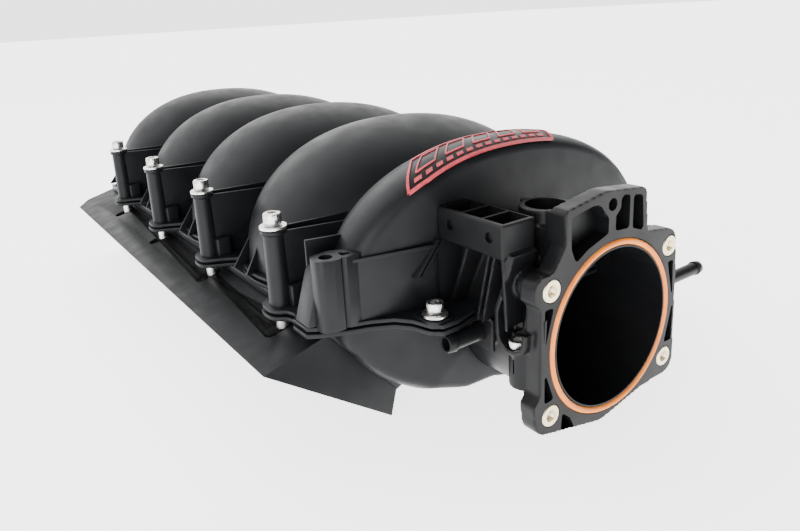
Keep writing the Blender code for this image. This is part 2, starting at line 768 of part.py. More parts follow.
def main():
    nylon = finish("black_nylon", (0.030, 0.031, 0.033), 0.55)
    rail_nylon = finish("rail_nylon", (0.032, 0.034, 0.037), 0.5)
    neck_nylon = finish("neck_nylon", (0.024, 0.025, 0.027), 0.5)
    runner_nylon = finish("runner_nylon", (0.02, 0.02, 0.021), 0.45)
    orange = finish("orange_silicone", (0.87, 0.29, 0.02), 0.42)
    dark_rubber = finish("dark_rubber", (0.02, 0.02, 0.02), 0.7)
    port_rubber = finish("port_rubber", (0.05, 0.07, 0.1), 0.6)
    brass = finish("brass", (0.83, 0.68, 0.4), 0.32, 1.0)
    steel = finish("zinc_steel", (0.68, 0.67, 0.64), 0.3, 1.0)
    washer_steel = finish("washer_steel", (0.72, 0.71, 0.68), 0.35, 1.0)
    red = finish("badge_red", (0.55, 0.05, 0.07), 0.45)
    build_upper_shell(nylon)
    build_lower_shell(nylon)
    build_neck(neck_nylon)
    build_throttle_seal(orange)
    build_inserts(brass)
    build_shell_seal(dark_rubber)
    build_shell_screws(steel, washer_steel)
    build_badge(red)
    for side in SIDES:
        build_rail(side, rail_nylon)
        build_port_seals(side, port_rubber)
        build_bolts(side, steel, washer_steel)
        build_nipple(side, neck_nylon)
        for port in range(PORT_COUNT):
            build_runner(side, port, runner_nylon)


main()
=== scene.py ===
"""Looks of the intake manifold: fine casings, ribs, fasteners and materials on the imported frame.

Sizes are in millimetres from the manifold's datum, which is the centre of the throttle flange
face: +X to the right, +Y towards the rear, +Z up.
"""
import math

import bmesh
import bpy
from mathutils import Matrix, Vector


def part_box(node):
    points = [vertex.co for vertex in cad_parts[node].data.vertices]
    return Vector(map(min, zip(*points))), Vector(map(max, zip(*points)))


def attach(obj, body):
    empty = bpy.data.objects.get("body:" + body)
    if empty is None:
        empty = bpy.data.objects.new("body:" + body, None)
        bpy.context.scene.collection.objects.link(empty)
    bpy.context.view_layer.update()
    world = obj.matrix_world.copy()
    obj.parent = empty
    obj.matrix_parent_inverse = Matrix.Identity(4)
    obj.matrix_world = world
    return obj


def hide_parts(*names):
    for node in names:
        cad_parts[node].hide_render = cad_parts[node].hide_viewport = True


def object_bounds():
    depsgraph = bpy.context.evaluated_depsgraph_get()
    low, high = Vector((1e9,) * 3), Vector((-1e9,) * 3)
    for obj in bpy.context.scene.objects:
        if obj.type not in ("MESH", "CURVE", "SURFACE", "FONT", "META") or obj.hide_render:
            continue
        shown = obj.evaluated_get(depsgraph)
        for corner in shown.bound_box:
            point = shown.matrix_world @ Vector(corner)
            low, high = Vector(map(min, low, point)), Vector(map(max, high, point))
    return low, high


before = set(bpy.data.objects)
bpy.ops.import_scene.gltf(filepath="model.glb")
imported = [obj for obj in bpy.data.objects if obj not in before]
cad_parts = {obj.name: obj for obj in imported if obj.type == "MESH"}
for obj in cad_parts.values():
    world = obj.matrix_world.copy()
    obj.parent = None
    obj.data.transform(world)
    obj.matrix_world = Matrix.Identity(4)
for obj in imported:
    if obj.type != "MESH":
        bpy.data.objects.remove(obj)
cad_low, cad_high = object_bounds()

MM = 0.001
neck_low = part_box("throttle_neck")[0]
seal_low, seal_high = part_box("throttle_seal")
DATUM = Matrix.Translation((0, neck_low.y, (seal_low.z + seal_high.z) / 2))
SIDES = {"left": -1, "right": 1}
FACE_ON_Y = Matrix.Rotation(math.pi / 2, 4, "X")
FACE_ON_X = Matrix.Rotation(math.pi / 2, 4, "Z") @ FACE_ON_Y

# The manifold's driving dimensions
PORT_PITCH = 111.76
PORT_COUNT = 4
FIRST_PORT_Y = {"left": 182.8, "right": 158.7}
BOLT_X = 133.4
WALL = 3.6
SEAM_Z = 10.0
SEAM_GAP = 1.4
SHELL_FRONT_Y = 66.0
FRONT_SLANT = 0.24
FRONT_SLANT_X = -70.0
FRONT_SLANT_RUN = 45.0
SHELL_REAR_Y = 550.0
BORE_RADIUS = 44.4
NECK_RADIUS = 50.0
FLANGE_THICKNESS = 10.0

# Runner arches: a super-ellipse in the cross-section, and an arc along the manifold
ARCH_CENTRE_X = -10.5
ARCH_LEFT = 111.5
ARCH_RIGHT = 128.0
ARCH_HEIGHT = 89.0
ARCH_POWER = 2.2
ARCH_ARC = 75.0
REAR_END_ARC = 46.0
DOME_Y = 81.4
DOME_HEIGHT = 86.0
DOME_FRONT_ARC = 27.0
DOME_REAR_ARC = 58.0

# Head rail cross-section, left side
RAIL_EDGE = (-163.0, -9.6)
RAIL_SHOULDER = (-124.0, 0.9)
RAIL_HEEL = (-80.0, -49.1)
RAIL_TOE = (-84.5, -65.6)
RAIL_LEAD = 89.8
RAIL_LENGTH = 468.0
PORT_SHIFT = 10.0
PORT_SIZE = (44.0, 30.0)
PORT_CORNER = 7.0
TROUGH_POLE_Z = 16.0
TROUGH_LEAST_REACH = 70.5

# Fasteners, bosses and fittings
BOSS_TOP_Z = 57.2
RIGHT_BOSS_TOP_Z = 50.0
RIGHT_FRONT_BOSS_TOP_Z = 24.0
BOSS_RADIUS = 6.4
BOLT_HOLE = 4.2
BOSS_WEB_SPREAD = 4.6
FREE_BOSS = (-126.5, 82.0, 50.3)
FREE_BOSS_HOLE = 3.7
PANEL_TOP_Z = 47.6
SCREW_PLACES = ((-80.0, 52.0), (80.0, 52.0), (-50.0, 557.0), (50.0, 557.0))
LUG_TOP_Z = 13.5
LUG_HOLE = 3.4
NECK_SCREW = (-55.4, 16.0, 0.5)
BELLY_BULGE = 9.0
BELLY_FRONT_Y = 72.0
BELLY_END_Y = 86.0
INSERT_X = 48.1
INSERT_Z = 34.5
INSERT_RADIUS = 6.1
SEAL_RADIUS = 47.4
SEAL_SECTION = 1.8
NIPPLES = {"left": (44.0, 0.0, 24.0, 5.6), "right": (24.0, -4.0, 63.0, 4.7)}

# Screws as head radius, head height, shank radius and socket; rings as outer, inner, thickness
MANIFOLD_SCREW = (5.1, 7.0, 3.0, 2.9)
MANIFOLD_SLEEVE = (4.1, 3.05, 11)
MANIFOLD_WASHER = (7.8, 3.5, 1.6)
SHELL_SCREW = (4.7, 6.0, 2.8, 2.6)
SHELL_WASHER = (7.0, 3.3, 1.6)
CUP_SCREW = (4.7, 4.4, 2.8, 2.6)
WASHER_GAP = 0.3
SCREW_GAP = 2.2

# Ribs and webs on the casings
RIB = 1.8
WALL_FOOT_Z = 12.0
LEDGE_FRONT_Y = 87.0
GUSSET_FOOT_X = 130.0
GUSSET_TOP_Z = 36.0
GUSSET_SHIFTS = (PORT_PITCH / 2 + 2, PORT_PITCH / 2 + 22)
WEB_INSET = 0.8
WEB_THICKNESS = 3.0

# The neck's bracket with three cells on top, the round port beside it, and the tab's hole
BRACKET_XS = (-65.0, -43.0)
BRACKET_FRONT_Y = 16.0
BRACKET_REAR_Y = SHELL_FRONT_Y - 0.3
BRACKET_ZS = (50.0, 68.0)
CELL_YS = (18.2, 33.4, 48.6)
CELL_LENGTH = 13.4
FLANK_HOLE_YS = (25.9, 55.6)
FLANK_HOLE_Z = 59.7
TOP_PORT = (-22.0, 28.0)
TOP_PORT_RADII = (14.5, 11.2)
TAB_HOLE = (-3.6, 69.2)

# The badge's corners over the dome, and its plain marks
BADGE_FRONT_ANGLES = (137.0, 65.0)
BADGE_REAR_ANGLES = (123.0, 60.5)
BADGE_YS = (67.0, 92.0)
BADGE_ASPECT = 4.6
BADGE_LOOPS = 5
BADGE_DASHES = 14

# The studio
FLOOR_HALF_SIZE = 25.0
FLOOR_GLOW = 3.0
ROOM_FRONT = 0.10
ROOM_REAR = 2.8

# The camera, in the datum's frame
CAMERA_PLACE = Vector((-282.6, -208.9, 168.9)) * MM
CAMERA_RIGHT = Vector((0.816389, -0.574846, -0.055326))
CAMERA_UP = Vector((0.200760, 0.192672, 0.960507))
CAMERA_LENS = 30.55
CAMERA_SHIFT = (0.0125, -0.075)


# -------- mesh helpers

def at(x, y, z):
    """A move in millimetres."""
    return Matrix.Translation(Vector((x, y, z)) * MM)


def baked(obj):
    """The evaluated mesh of a helper object, welded. The helper is removed."""
    bpy.context.view_layer.update()
    depsgraph = bpy.context.evaluated_depsgraph_get()
    mesh = bpy.data.meshes.new_from_object(obj.evaluated_get(depsgraph))
    mesh.transform(obj.matrix_world)
    bpy.data.objects.remove(obj, do_unlink=True)
    work = bmesh.new()
    work.from_mesh(mesh)
    bmesh.ops.remove_doubles(work, verts=work.verts, dist=0.000002)
    bmesh.ops.recalc_face_normals(work, faces=work.faces)
    work.to_mesh(mesh)
    work.free()
    return mesh


def helper(data):
    """A scratch object in the scene."""
    obj = bpy.data.objects.new("helper", data)
    bpy.context.scene.collection.objects.link(obj)
    return obj


def prism(outlines, thickness, place=Matrix.Identity(4)):
    """Flat outlines in XY, holes inside, thickened to both sides of the plane."""
    curve = bpy.data.curves.new("outline", "CURVE")
    curve.dimensions = "2D"
    curve.fill_mode = "BOTH"
    curve.extrude = thickness / 2 * MM
    for outline in outlines:
        spline = curve.splines.new("POLY")
        spline.points.add(len(outline) - 1)
        for point, (u, v) in zip(spline.points, outline):
            point.co = (u * MM, v * MM, 0, 1)
        spline.use_cyclic_u = True
    obj = helper(curve)
    obj.matrix_world = place
    return baked(obj)


def slab(outlines, low_z, high_z):
    """A prism whose outlines lie in plan, between two heights."""
    return prism(outlines, high_z - low_z, at(0, 0, (low_z + high_z) / 2))


def across(outlines, low_y, high_y):
    """A prism whose outlines lie in XZ, between two stations."""
    return prism(outlines, high_y - low_y, at(0, (low_y + high_y) / 2, 0) @ FACE_ON_Y)


def along(outlines, low_x, high_x):
    """A prism whose outlines lie in YZ, between two side planes."""
    return prism(outlines, high_x - low_x, at((low_x + high_x) / 2, 0, 0) @ FACE_ON_X)


def box(low, high):
    """A block between two corners."""
    outline = [(low[0], low[1]), (high[0], low[1]), (high[0], high[1]), (low[0], high[1])]
    return slab([outline], low[2], high[2])


def rod(radius, foot, top, steps=48):
    """A round bar between two points."""
    start = Vector(foot) * MM
    line = Vector(top) * MM - start
    turn = line.to_track_quat("Z", "Y").to_matrix().to_4x4()
    mesh = bpy.data.meshes.new("rod")
    work = bmesh.new()
    bmesh.ops.create_cone(work, cap_ends=True, segments=steps, radius1=radius * MM,
                          radius2=radius * MM, depth=line.length,
                          matrix=Matrix.Translation(start + line / 2) @ turn)
    work.to_mesh(mesh)
    work.free()
    return mesh


def turned(profile, steps=64, closed=False):
    """A profile of (radius, height), top to bottom, turned about Z."""
    mesh = bpy.data.meshes.new("profile")
    edges = [(i, i + 1) for i in range(len(profile) - 1)]
    if closed:
        edges.append((len(profile) - 1, 0))
    mesh.from_pydata([(r * MM, 0, h * MM) for r, h in profile], edges, [])
    obj = helper(mesh)
    screw = obj.modifiers.new("turn", "SCREW")
    screw.steps = steps
    screw.render_steps = steps
    screw.use_merge_vertices = True
    screw.merge_threshold = 0.00001
    return baked(obj)


def moved(mesh, place):
    """A copy at another place."""
    copy = mesh.copy()
    copy.transform(place)
    return copy


def group(meshes):
    """Several closed bodies in one mesh."""
    joined = bpy.data.meshes.new("group")
    work = bmesh.new()
    for mesh in meshes:
        work.from_mesh(mesh)
    work.to_mesh(joined)
    work.free()
    return joined


def cut(base, *tools):
    """The base with every tool taken away."""
    obj = helper(base)
    cutter = helper(group(tools))
    modifier = obj.modifiers.new("cut", "BOOLEAN")
    modifier.operation = "DIFFERENCE"
    modifier.solver = "MANIFOLD"
    modifier.object = cutter
    mesh = baked(obj)
    bpy.data.objects.remove(cutter, do_unlink=True)
    return mesh


def softened(mesh, width=0.5, segments=2, angle=34):
    """The same body with its edges rounded over."""
    obj = helper(mesh)
    bevel = obj.modifiers.new("edges", "BEVEL")
    bevel.width = width * MM
    bevel.segments = segments
    bevel.limit_method = "ANGLE"
    bevel.angle_limit = math.radians(angle)
    bevel.use_clamp_overlap = True
    return baked(obj)


def fused(mesh, voxel, smooth_steps):
    """Bodies melted into one moulding, with a small fillet wherever two of them meet."""
    obj = helper(mesh)
    remesh = obj.modifiers.new("melt", "REMESH")
    remesh.mode = "VOXEL"
    remesh.voxel_size = voxel * MM
    smooth = obj.modifiers.new("fillet", "SMOOTH")
    smooth.factor = 0.5
    smooth.iterations = smooth_steps
    return baked(obj)


def piece(name, mesh, material, nodes=(), sharp=32):
    """A finished piece that rides the manifold and stands for CAD nodes."""
    mesh.name = name
    mesh.transform(DATUM)
    mesh.shade_smooth()
    mesh.set_sharp_from_angle(angle=math.radians(sharp))
    mesh.materials.clear()
    mesh.materials.append(material)
    obj = bpy.data.objects.new(name, mesh)
    bpy.context.scene.collection.objects.link(obj)
    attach(obj, "root")
    if nodes:
        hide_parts(*nodes)
    return obj


def circle(radius, steps, x=0.0, y=0.0):
    """A round outline."""
    return [(x + radius * math.cos(math.tau * i / steps), y + radius * math.sin(math.tau * i / steps))
            for i in range(steps)]


def rounded(corners, steps=5):
    """An outline from (x, y, radius) corners, each turned through an arc."""
    outline = []
    for i, (x, y, radius) in enumerate(corners):
        corner = Vector((x, y))
        before = (Vector(corners[i - 1][:2]) - corner).normalized()
        after = (Vector(corners[(i + 1) % len(corners)][:2]) - corner).normalized()
        half = before.angle(after) / 2
        if radius == 0:
            outline.append(tuple(corner))
            continue
        centre = corner + (before + after).normalized() * radius / math.sin(half)
        start = corner + before * radius / math.tan(half) - centre
        end = corner + after * radius / math.tan(half) - centre
        turn = start.angle_signed(end)
        for step in range(steps + 1):
            arm = start.copy()
            arm.rotate(Matrix.Rotation(-turn * step / steps, 2))
            outline.append(tuple(centre + arm))
    return outline


def skin(grid):
    """A sheet from a grid of points in millimetres."""
    work = bmesh.new()
    rows = [[work.verts.new(Vector(spot) * MM) for spot in line] for line in grid]
    for row, next_row in zip(rows, rows[1:]):
        for i in range(len(row) - 1):
            work.faces.new((row[i], row[i + 1], next_row[i + 1], next_row[i]))
    bmesh.ops.remove_doubles(work, verts=work.verts, dist=0.00001)
    bmesh.ops.recalc_face_normals(work, faces=work.faces)
    mesh = bpy.data.meshes.new("skin")
    work.to_mesh(mesh)
    work.free()
    return mesh


def thickened(mesh, thickness, offset=-1):
    """A sheet turned into a closed wall."""
    obj = helper(mesh)
    solid = obj.modifiers.new("wall", "SOLIDIFY")
    solid.thickness = thickness * MM
    solid.offset = offset
    return baked(obj)


# -------- materials

def node_material(name, roughness, metallic=0.0):
    """A Principled material, its tree and its shader."""
    material = bpy.data.materials.new(name)
    material.use_nodes = True
    shader = material.node_tree.nodes["Principled BSDF"]
    shader.inputs["Roughness"].default_value = roughness
    shader.inputs["Metallic"].default_value = metallic
    return material, material.node_tree, shader


def noise(tree, scale, detail, stretch=(1, 1, 1), distortion=0.0):
    """A noise field over the object's own coordinates."""
    coords = tree.nodes.new("ShaderNodeTexCoord")
    mapping = tree.nodes.new("ShaderNodeMapping")
    mapping.inputs["Scale"].default_value = stretch
    field = tree.nodes.new("ShaderNodeTexNoise")
    field.inputs["Scale"].default_value = scale
    field.inputs["Detail"].default_value = detail
    field.inputs["Distortion"].default_value = distortion
    tree.links.new(coords.outputs["Object"], mapping.inputs["Vector"])
    tree.links.new(mapping.outputs["Vector"], field.inputs["Vector"])
    return field.outputs["Fac"]


def ramp(tree, source, stops):
    """A colour ramp of (position, colour) stops."""
    node = tree.nodes.new("ShaderNodeValToRGB")
    elements = node.color_ramp.elements
    for element, (position, colour) in zip(elements, (stops[0], stops[-1])):
        element.position = position
        element.color = (*colour, 1)
    for position, colour in stops[1:-1]:
        element = elements.new(position)
        element.color = (*colour, 1)
    tree.links.new(source, node.inputs["Fac"])
    return node.outputs["Color"]


def spread(tree, source, low, high):
    """A field remapped between two values."""
    node = tree.nodes.new("ShaderNodeMapRange")
    node.inputs["From Min"].default_value = 0.3
    node.inputs["From Max"].default_value = 0.7
    node.inputs["To Min"].default_value = low
    node.inputs["To Max"].default_value = high
    tree.links.new(source, node.inputs["Value"])
    return node.outputs["Result"]


def bumped(tree, shader, layers):
    """Height fields of (source, distance in mm, strength), one on top of the other."""
    normal = None
    for source, distance, strength in layers:
        bump = tree.nodes.new("ShaderNodeBump")
        bump.inputs["Distance"].default_value = distance * MM
        bump.inputs["Strength"].default_value = strength
        tree.links.new(source, bump.inputs["Height"])
        if normal:
            tree.links.new(normal, bump.inputs["Normal"])
        normal = bump.outputs["Normal"]
    tree.links.new(normal, shader.inputs["Normal"])


def moulded(name, dark, pale, roughness, sheen=0.19):
    """Glass-filled nylon: a fine spark-eroded grain, faint flow marks and uneven gloss."""
    material, tree, shader = node_material(name, roughness)
    shader.inputs["Specular IOR Level"].default_value = sheen
    flow = noise(tree, 26, 6, (1, 0.35, 1), 1.6)
    grain = noise(tree, 1500, 3)
    patches = noise(tree, 70, 5)
    colour = ramp(tree, flow, [(0.3, dark), (0.52, [(a + b) / 2 for a, b in zip(dark, pale)]),
                               (0.72, pale)])
    tree.links.new(colour, shader.inputs["Base Color"])
    gloss = spread(tree, patches, roughness - 0.06, roughness + 0.08)
    tree.links.new(gloss, shader.inputs["Roughness"])
    bumped(tree, shader, [(patches, 0.10, 0.25), (grain, 0.05, 0.55)])
    return material


def plated(name, colour, roughness):
    """Zinc-plated steel: turning marks, a little tarnish and a cloudy gloss."""
    material, tree, shader = node_material(name, roughness, 1.0)
    cloud = noise(tree, 260, 5)
    lines = noise(tree, 900, 2, (0.15, 0.15, 4.0))
    tarnish = [c * 0.72 for c in colour]
    tree.links.new(ramp(tree, cloud, [(0.32, tarnish), (0.5, colour), (0.75, colour)]),
                   shader.inputs["Base Color"])
    tree.links.new(spread(tree, cloud, roughness - 0.08, roughness + 0.12), shader.inputs["Roughness"])
    bumped(tree, shader, [(lines, 0.03, 0.4)])
    return material


def elastic(name, dark, pale, roughness):
    """Moulded rubber: a soft bloom and a fine matt grain."""
    material, tree, shader = node_material(name, roughness)
    bloom = noise(tree, 160, 5)
    grain = noise(tree, 2200, 2)
    tree.links.new(ramp(tree, bloom, [(0.3, dark), (0.7, pale)]), shader.inputs["Base Color"])
    tree.links.new(spread(tree, bloom, roughness - 0.06, roughness + 0.06), shader.inputs["Roughness"])
    bumped(tree, shader, [(grain, 0.03, 0.35)])
    return material


def painted(name, dark, pale, roughness):
    """A printed enamel line: slightly uneven film with small pits."""
    material, tree, shader = node_material(name, roughness)
    film = noise(tree, 420, 4)
    tree.links.new(ramp(tree, film, [(0.3, dark), (0.68, pale)]), shader.inputs["Base Color"])
    tree.links.new(spread(tree, film, roughness - 0.05, roughness + 0.1), shader.inputs["Roughness"])
    bumped(tree, shader, [(film, 0.05, 0.3)])
    return material


SHELL = moulded("shell_nylon", (0.0058, 0.0066, 0.0078), (0.0092, 0.0102, 0.0118), 0.42)
NECK = moulded("neck_nylon", (0.0040, 0.0042, 0.0048), (0.0066, 0.0068, 0.0076), 0.38, 0.17)
RAIL = moulded("rail_nylon", (0.0066, 0.0074, 0.0084), (0.0100, 0.0108, 0.0120), 0.50, 0.17)
RUNNER = moulded("runner_nylon", (0.012, 0.012, 0.013), (0.018, 0.018, 0.019), 0.42)
ORANGE = elastic("orange_silicone", (0.88, 0.20, 0.008), (0.97, 0.28, 0.015), 0.5)
DARK_RUBBER = elastic("dark_rubber", (0.012, 0.012, 0.012), (0.022, 0.022, 0.022), 0.7)
PORT_RUBBER = elastic("port_rubber", (0.035, 0.05, 0.08), (0.055, 0.075, 0.11), 0.6)
BRASS = plated("brass", (0.90, 0.80, 0.55), 0.30)
STEEL = plated("zinc_steel", (0.80, 0.79, 0.77), 0.28)
RED = painted("badge_red", (0.50, 0.035, 0.055), (0.66, 0.07, 0.09), 0.42)


# -------- arched upper shell

def port_ys(side):
    """Stations of one bank's port centres."""
    return [FIRST_PORT_Y[side] + PORT_PITCH * i for i in range(PORT_COUNT)]


def bosses(side):
    """Places and top heights of one bank's bolt bosses."""
    tops = []
    for i, y in enumerate(port_ys(side)):
        top = BOSS_TOP_Z
        if side == "right":
            top = RIGHT_FRONT_BOSS_TOP_Z if i == 0 else RIGHT_BOSS_TOP_Z
        tops.append((SIDES[side] * BOLT_X, y - PORT_PITCH / 2, top))
    return tops


def arches():
    """Each arch's crest, front arc, rear arc and height: the front dome, then one per port pair."""
    rows = [(DOME_Y, DOME_FRONT_ARC, DOME_REAR_ARC, DOME_HEIGHT)]
    for i, crest in enumerate(port_ys("left")):
        rear_arc = REAR_END_ARC if i == PORT_COUNT - 1 else ARCH_ARC
        rows.append((crest, ARCH_ARC, rear_arc, ARCH_HEIGHT))
    return rows


ARCHES = arches()


def arch_reach(angle, y):
    """Distance from the arch centre to the outer skin of the upper shell."""
    half = ARCH_LEFT if math.cos(angle) < 0 else ARCH_RIGHT
    reach = 0
    for crest, front_arc, rear_arc, height in ARCHES:
        arc = front_arc if y < crest else rear_arc
        away = min(abs(y - crest), arc * 0.98)
        drop = arc - math.sqrt(arc ** 2 - away ** 2)
        share_x = abs(math.cos(angle)) / (half - drop)
        share_z = max(math.sin(angle), 0) / (height - drop)
        reach = max(reach, (share_x ** ARCH_POWER + share_z ** ARCH_POWER) ** (-1 / ARCH_POWER))
    return reach


def arch_spot(angle, y, lift=0.0, share=1.0):
    """A point on the upper shell's skin, or lifted off it."""
    r = (arch_reach(angle, y) + lift) * share
    x = ARCH_CENTRE_X + math.cos(angle) * r
    return (x, slanted(x, y), SEAM_Z + math.sin(angle) * r)


def slanted(x, y):
    """The front wall swings back towards the left, and the rows behind it follow."""
    swing = max(0.0, FRONT_SLANT_X - x) * FRONT_SLANT
    return y + swing * max(0.0, 1 - (y - SHELL_FRONT_Y) / FRONT_SLANT_RUN)


def skin_x(side, z, y):
    """Where the upper shell's skin stands at a height, measured outwards from the centre plane."""
    low, high = 0.0, math.pi / 2
    for _ in range(24):
        middle = (low + high) / 2
        angle = middle if side == "right" else math.pi - middle
        if SEAM_Z + math.sin(middle) * arch_reach(angle, y) < z:
            low = middle
        else:
            high = middle
    angle = low if side == "right" else math.pi - low
    return abs(ARCH_CENTRE_X + math.cos(angle) * arch_reach(angle, y))


def shell_ys(step=2.794):
    """Stations along the manifold, with one on every crest and crease."""
    count = int((SHELL_REAR_Y - SHELL_FRONT_Y) / step)
    start = FIRST_PORT_Y["left"] - step * int((FIRST_PORT_Y["left"] - SHELL_FRONT_Y) / step)
    inner = [start + step * i for i in range(count + 1)]
    inner = [y for y in inner if SHELL_FRONT_Y + 2.5 < y < SHELL_REAR_Y - 2.5]
    return inner


def arch_skin():
    """The vaulted casing, with rounded front and rear corners, as a closed wall."""
    angles = [math.pi * i / 96 for i in range(96, -1, -1)]
    corner = ((0.0, 0.0), (0.0, 0.5), (0.0, 0.95), (0.5, 0.975), (1.4, 0.992))
    stations = [(SHELL_FRONT_Y + y, share) for y, share in corner]
    stations += [(y, 1.0) for y in shell_ys()]
    stations += [(SHELL_REAR_Y - y, share) for y, share in corner[::-1]]
    grid = [[arch_spot(angle, y, 0, share) for angle in angles] for y, share in stations]
    return thickened(skin(grid), WALL)


def boss_body(x, y, top):
    """A tapered post with a collar under the washer and a flared foot."""
    foot = SEAM_Z - 2
    profile = [(0, top), (7.3, top), (7.6, top - 0.4), (7.6, top - 2.2), (BOSS_RADIUS, top - 3.4),
               (BOSS_RADIUS + 0.3, foot + 6), (BOSS_RADIUS + 1.8, foot + 1.2),
               (BOSS_RADIUS + 1.8, foot), (0, foot)]
    post = moved(turned(profile, 48), at(x, y, 0))
    return cut(post, rod(BOLT_HOLE, (x, y, foot - 5), (x, y, top + 5), 32))


def wall_from_boss(side, y, top, foot, x_out, fall):
    """A thin wall from a boss inwards to the shell, following its curve."""
    sign = SIDES[side]
    heights = [foot + (top - fall - foot) * i / 8 for i in range(9)]
    inner = [(sign * (skin_x(side, z, y) - 2.5), z) for z in heights]
    outline = [(sign * x_out, foot), *inner, (sign * x_out, top)]
    return softened(across([outline], y - RIB / 2, y + RIB / 2), 0.4)


def gusset(side, y):
    """A triangular fin standing on the ledge against the shell's flank."""
    sign = SIDES[side]
    foot = SEAM_Z + 1
    heights = [foot + (GUSSET_TOP_Z - foot) * i / 6 for i in range(7)]
    inner = [(sign * (skin_x(side, z, y) - 2.5), z) for z in heights]
    outline = [(sign * GUSSET_FOOT_X, foot), *inner]
    return softened(across([outline], y - RIB / 2, y + RIB / 2), 0.3)


def bolt_station(side, x, y, top):
    """One bolt boss with its double web, floor, foot block and fins."""
    sign = SIDES[side]
    bodies = [boss_body(x, y, top)]
    front, rear = y - BOSS_WEB_SPREAD, y + BOSS_WEB_SPREAD
    bodies.append(wall_from_boss(side, front, top - 1.0, WALL_FOOT_Z, BOLT_X - 2, 3.0))
    bodies.append(wall_from_boss(side, rear, top - 1.0, WALL_FOOT_Z, BOLT_X - 2, 1.0))
    floor_in = skin_x(side, top - 12, y) - 3
    floor = [(sign * (BOLT_X - 3), front), (sign * floor_in, front), (sign * floor_in, rear),
             (sign * (BOLT_X - 3), rear)]
    bodies.append(slab([floor], top - 14, top - 10))
    if top > RIGHT_FRONT_BOSS_TOP_Z:
        low_x, high_x = sorted((sign * 121, sign * 131))
        bodies.append(softened(box((low_x, front - 6, SEAM_Z), (high_x, front + 1, 25)), 1.2, 3))
        for shift in GUSSET_SHIFTS:
            if y + shift < SHELL_REAR_Y - 8:
                bodies.append(gusset(side, y + shift))
    return bodies


def ledge_line(side, grow):
    """The seam flange's edge in plan: out round each boss foot, in along each arch's flank."""
    sign = SIDES[side]
    step = 2.5
    line = []
    for i in range(int((SHELL_REAR_Y - LEDGE_FRONT_Y) / step)):
        y = LEDGE_FRONT_Y + step * i
        half = skin_x(side, SEAM_Z + 0.1, y) + 4.5
        for x, boss_y, top in bosses(side):
            away = abs(y - boss_y) / 15
            if away < 1.4:
                half = max(half, BOLT_X + 10 - 10 * away ** 4)
        if side == "left" and y < LEDGE_FRONT_Y + 22:
            half = max(half, 138.5)
        line.append((half + grow, y))
    smooth = []
    for i, (x, y) in enumerate(line):
        near = line[max(i - 2, 0):i + 3]
        smooth.append((sign * sum(spot[0] for spot in near) / len(near), y))
    return smooth


def flange_ring(grow, low_z, high_z):
    """The seam flange all round the casing, open inside."""
    front_left = [(-58, 46), (-72, 42), (-83, 42), (-88, 48), (-91, 58), (-97, 66), (-108, 72.5),
                  (-125, 79), (-134, 83.5)]
    front_right = [(120, 82), (108, 68), (90, 60), (88, 44), (72, 42), (58, 46)]
    outer = [*front_left, *ledge_line("left", grow), *ledge_line("right", grow)[::-1], *front_right]
    outer = [(x, min(y, SHELL_REAR_Y + 1.5)) for x, y in outer]
    ys = shell_ys(8.0)
    left = [(-(skin_x("left", SEAM_Z + 0.1, y) - 2), y) for y in ys]
    right = [(skin_x("right", SEAM_Z + 0.1, y) - 2, y) for y in ys]
    left = [(x, slanted(x, y)) for x, y in left]
    inner_y = SHELL_FRONT_Y + 1.5
    inner = [(-54, inner_y), (-70, inner_y), *left, *right[::-1], (54, inner_y)]
    return softened(slab([outer, inner], low_z, high_z), 0.5)


def screw_lugs(low_z, high_z):
    """The four tongues that the casing screws go through."""
    bodies = []
    for x, y in SCREW_PLACES:
        inward = 1 if y < 300 else -1
        outline = rounded([(x - 8, y - 8 * inward, 5), (x + 8, y - 8 * inward, 5),
                           (x + 8, y + 10 * inward, 0), (x - 8, y + 10 * inward, 0)])
        bodies.append(softened(slab([outline, circle(LUG_HOLE, 32, x, y)], low_z, high_z), 0.5))
    return bodies


def free_boss():
    """The empty boss at the front left: round post, slab flank, pocketed cap and outer fin."""
    x, y, top = FREE_BOSS
    cap = rounded([(x - 7.6, y - 5, 5), (x, y - 7.8, 6), (x + 17, y - 6.8, 1), (x + 17, y + 2, 1),
                   (x + 6, y + 8, 5), (x - 7.6, y + 7, 6)])
    pocket = rounded([(x + 7.5, y - 4, 0.8), (x + 14.5, y - 3.8, 0.8), (x + 8.2, y + 2.2, 0.8)])
    body = softened(slab([cap], SEAM_Z + 1, top), 0.6)
    hole = rod(FREE_BOSS_HOLE, (x, y, 20), (x, y, 90), 32)
    body = cut(body, hole, slab([pocket], top - 14, top + 5))
    groove = rod(2.2, (x + 6.6, y - 8.6, SEAM_Z - 2), (x + 6.6, y - 8.6, top + 3), 24)
    body = cut(body, groove)
    fin = softened(across([[(x, 12), (x, 47), (x - 4, 40), (x - 12.5, 13)]], y + 2, y + 17), 1.0)
    rear_rib = wall_from_boss("left", y + 16, top + 6, WALL_FOOT_Z, -x + 3, 2.0)
    return [body, fin, rear_rib]


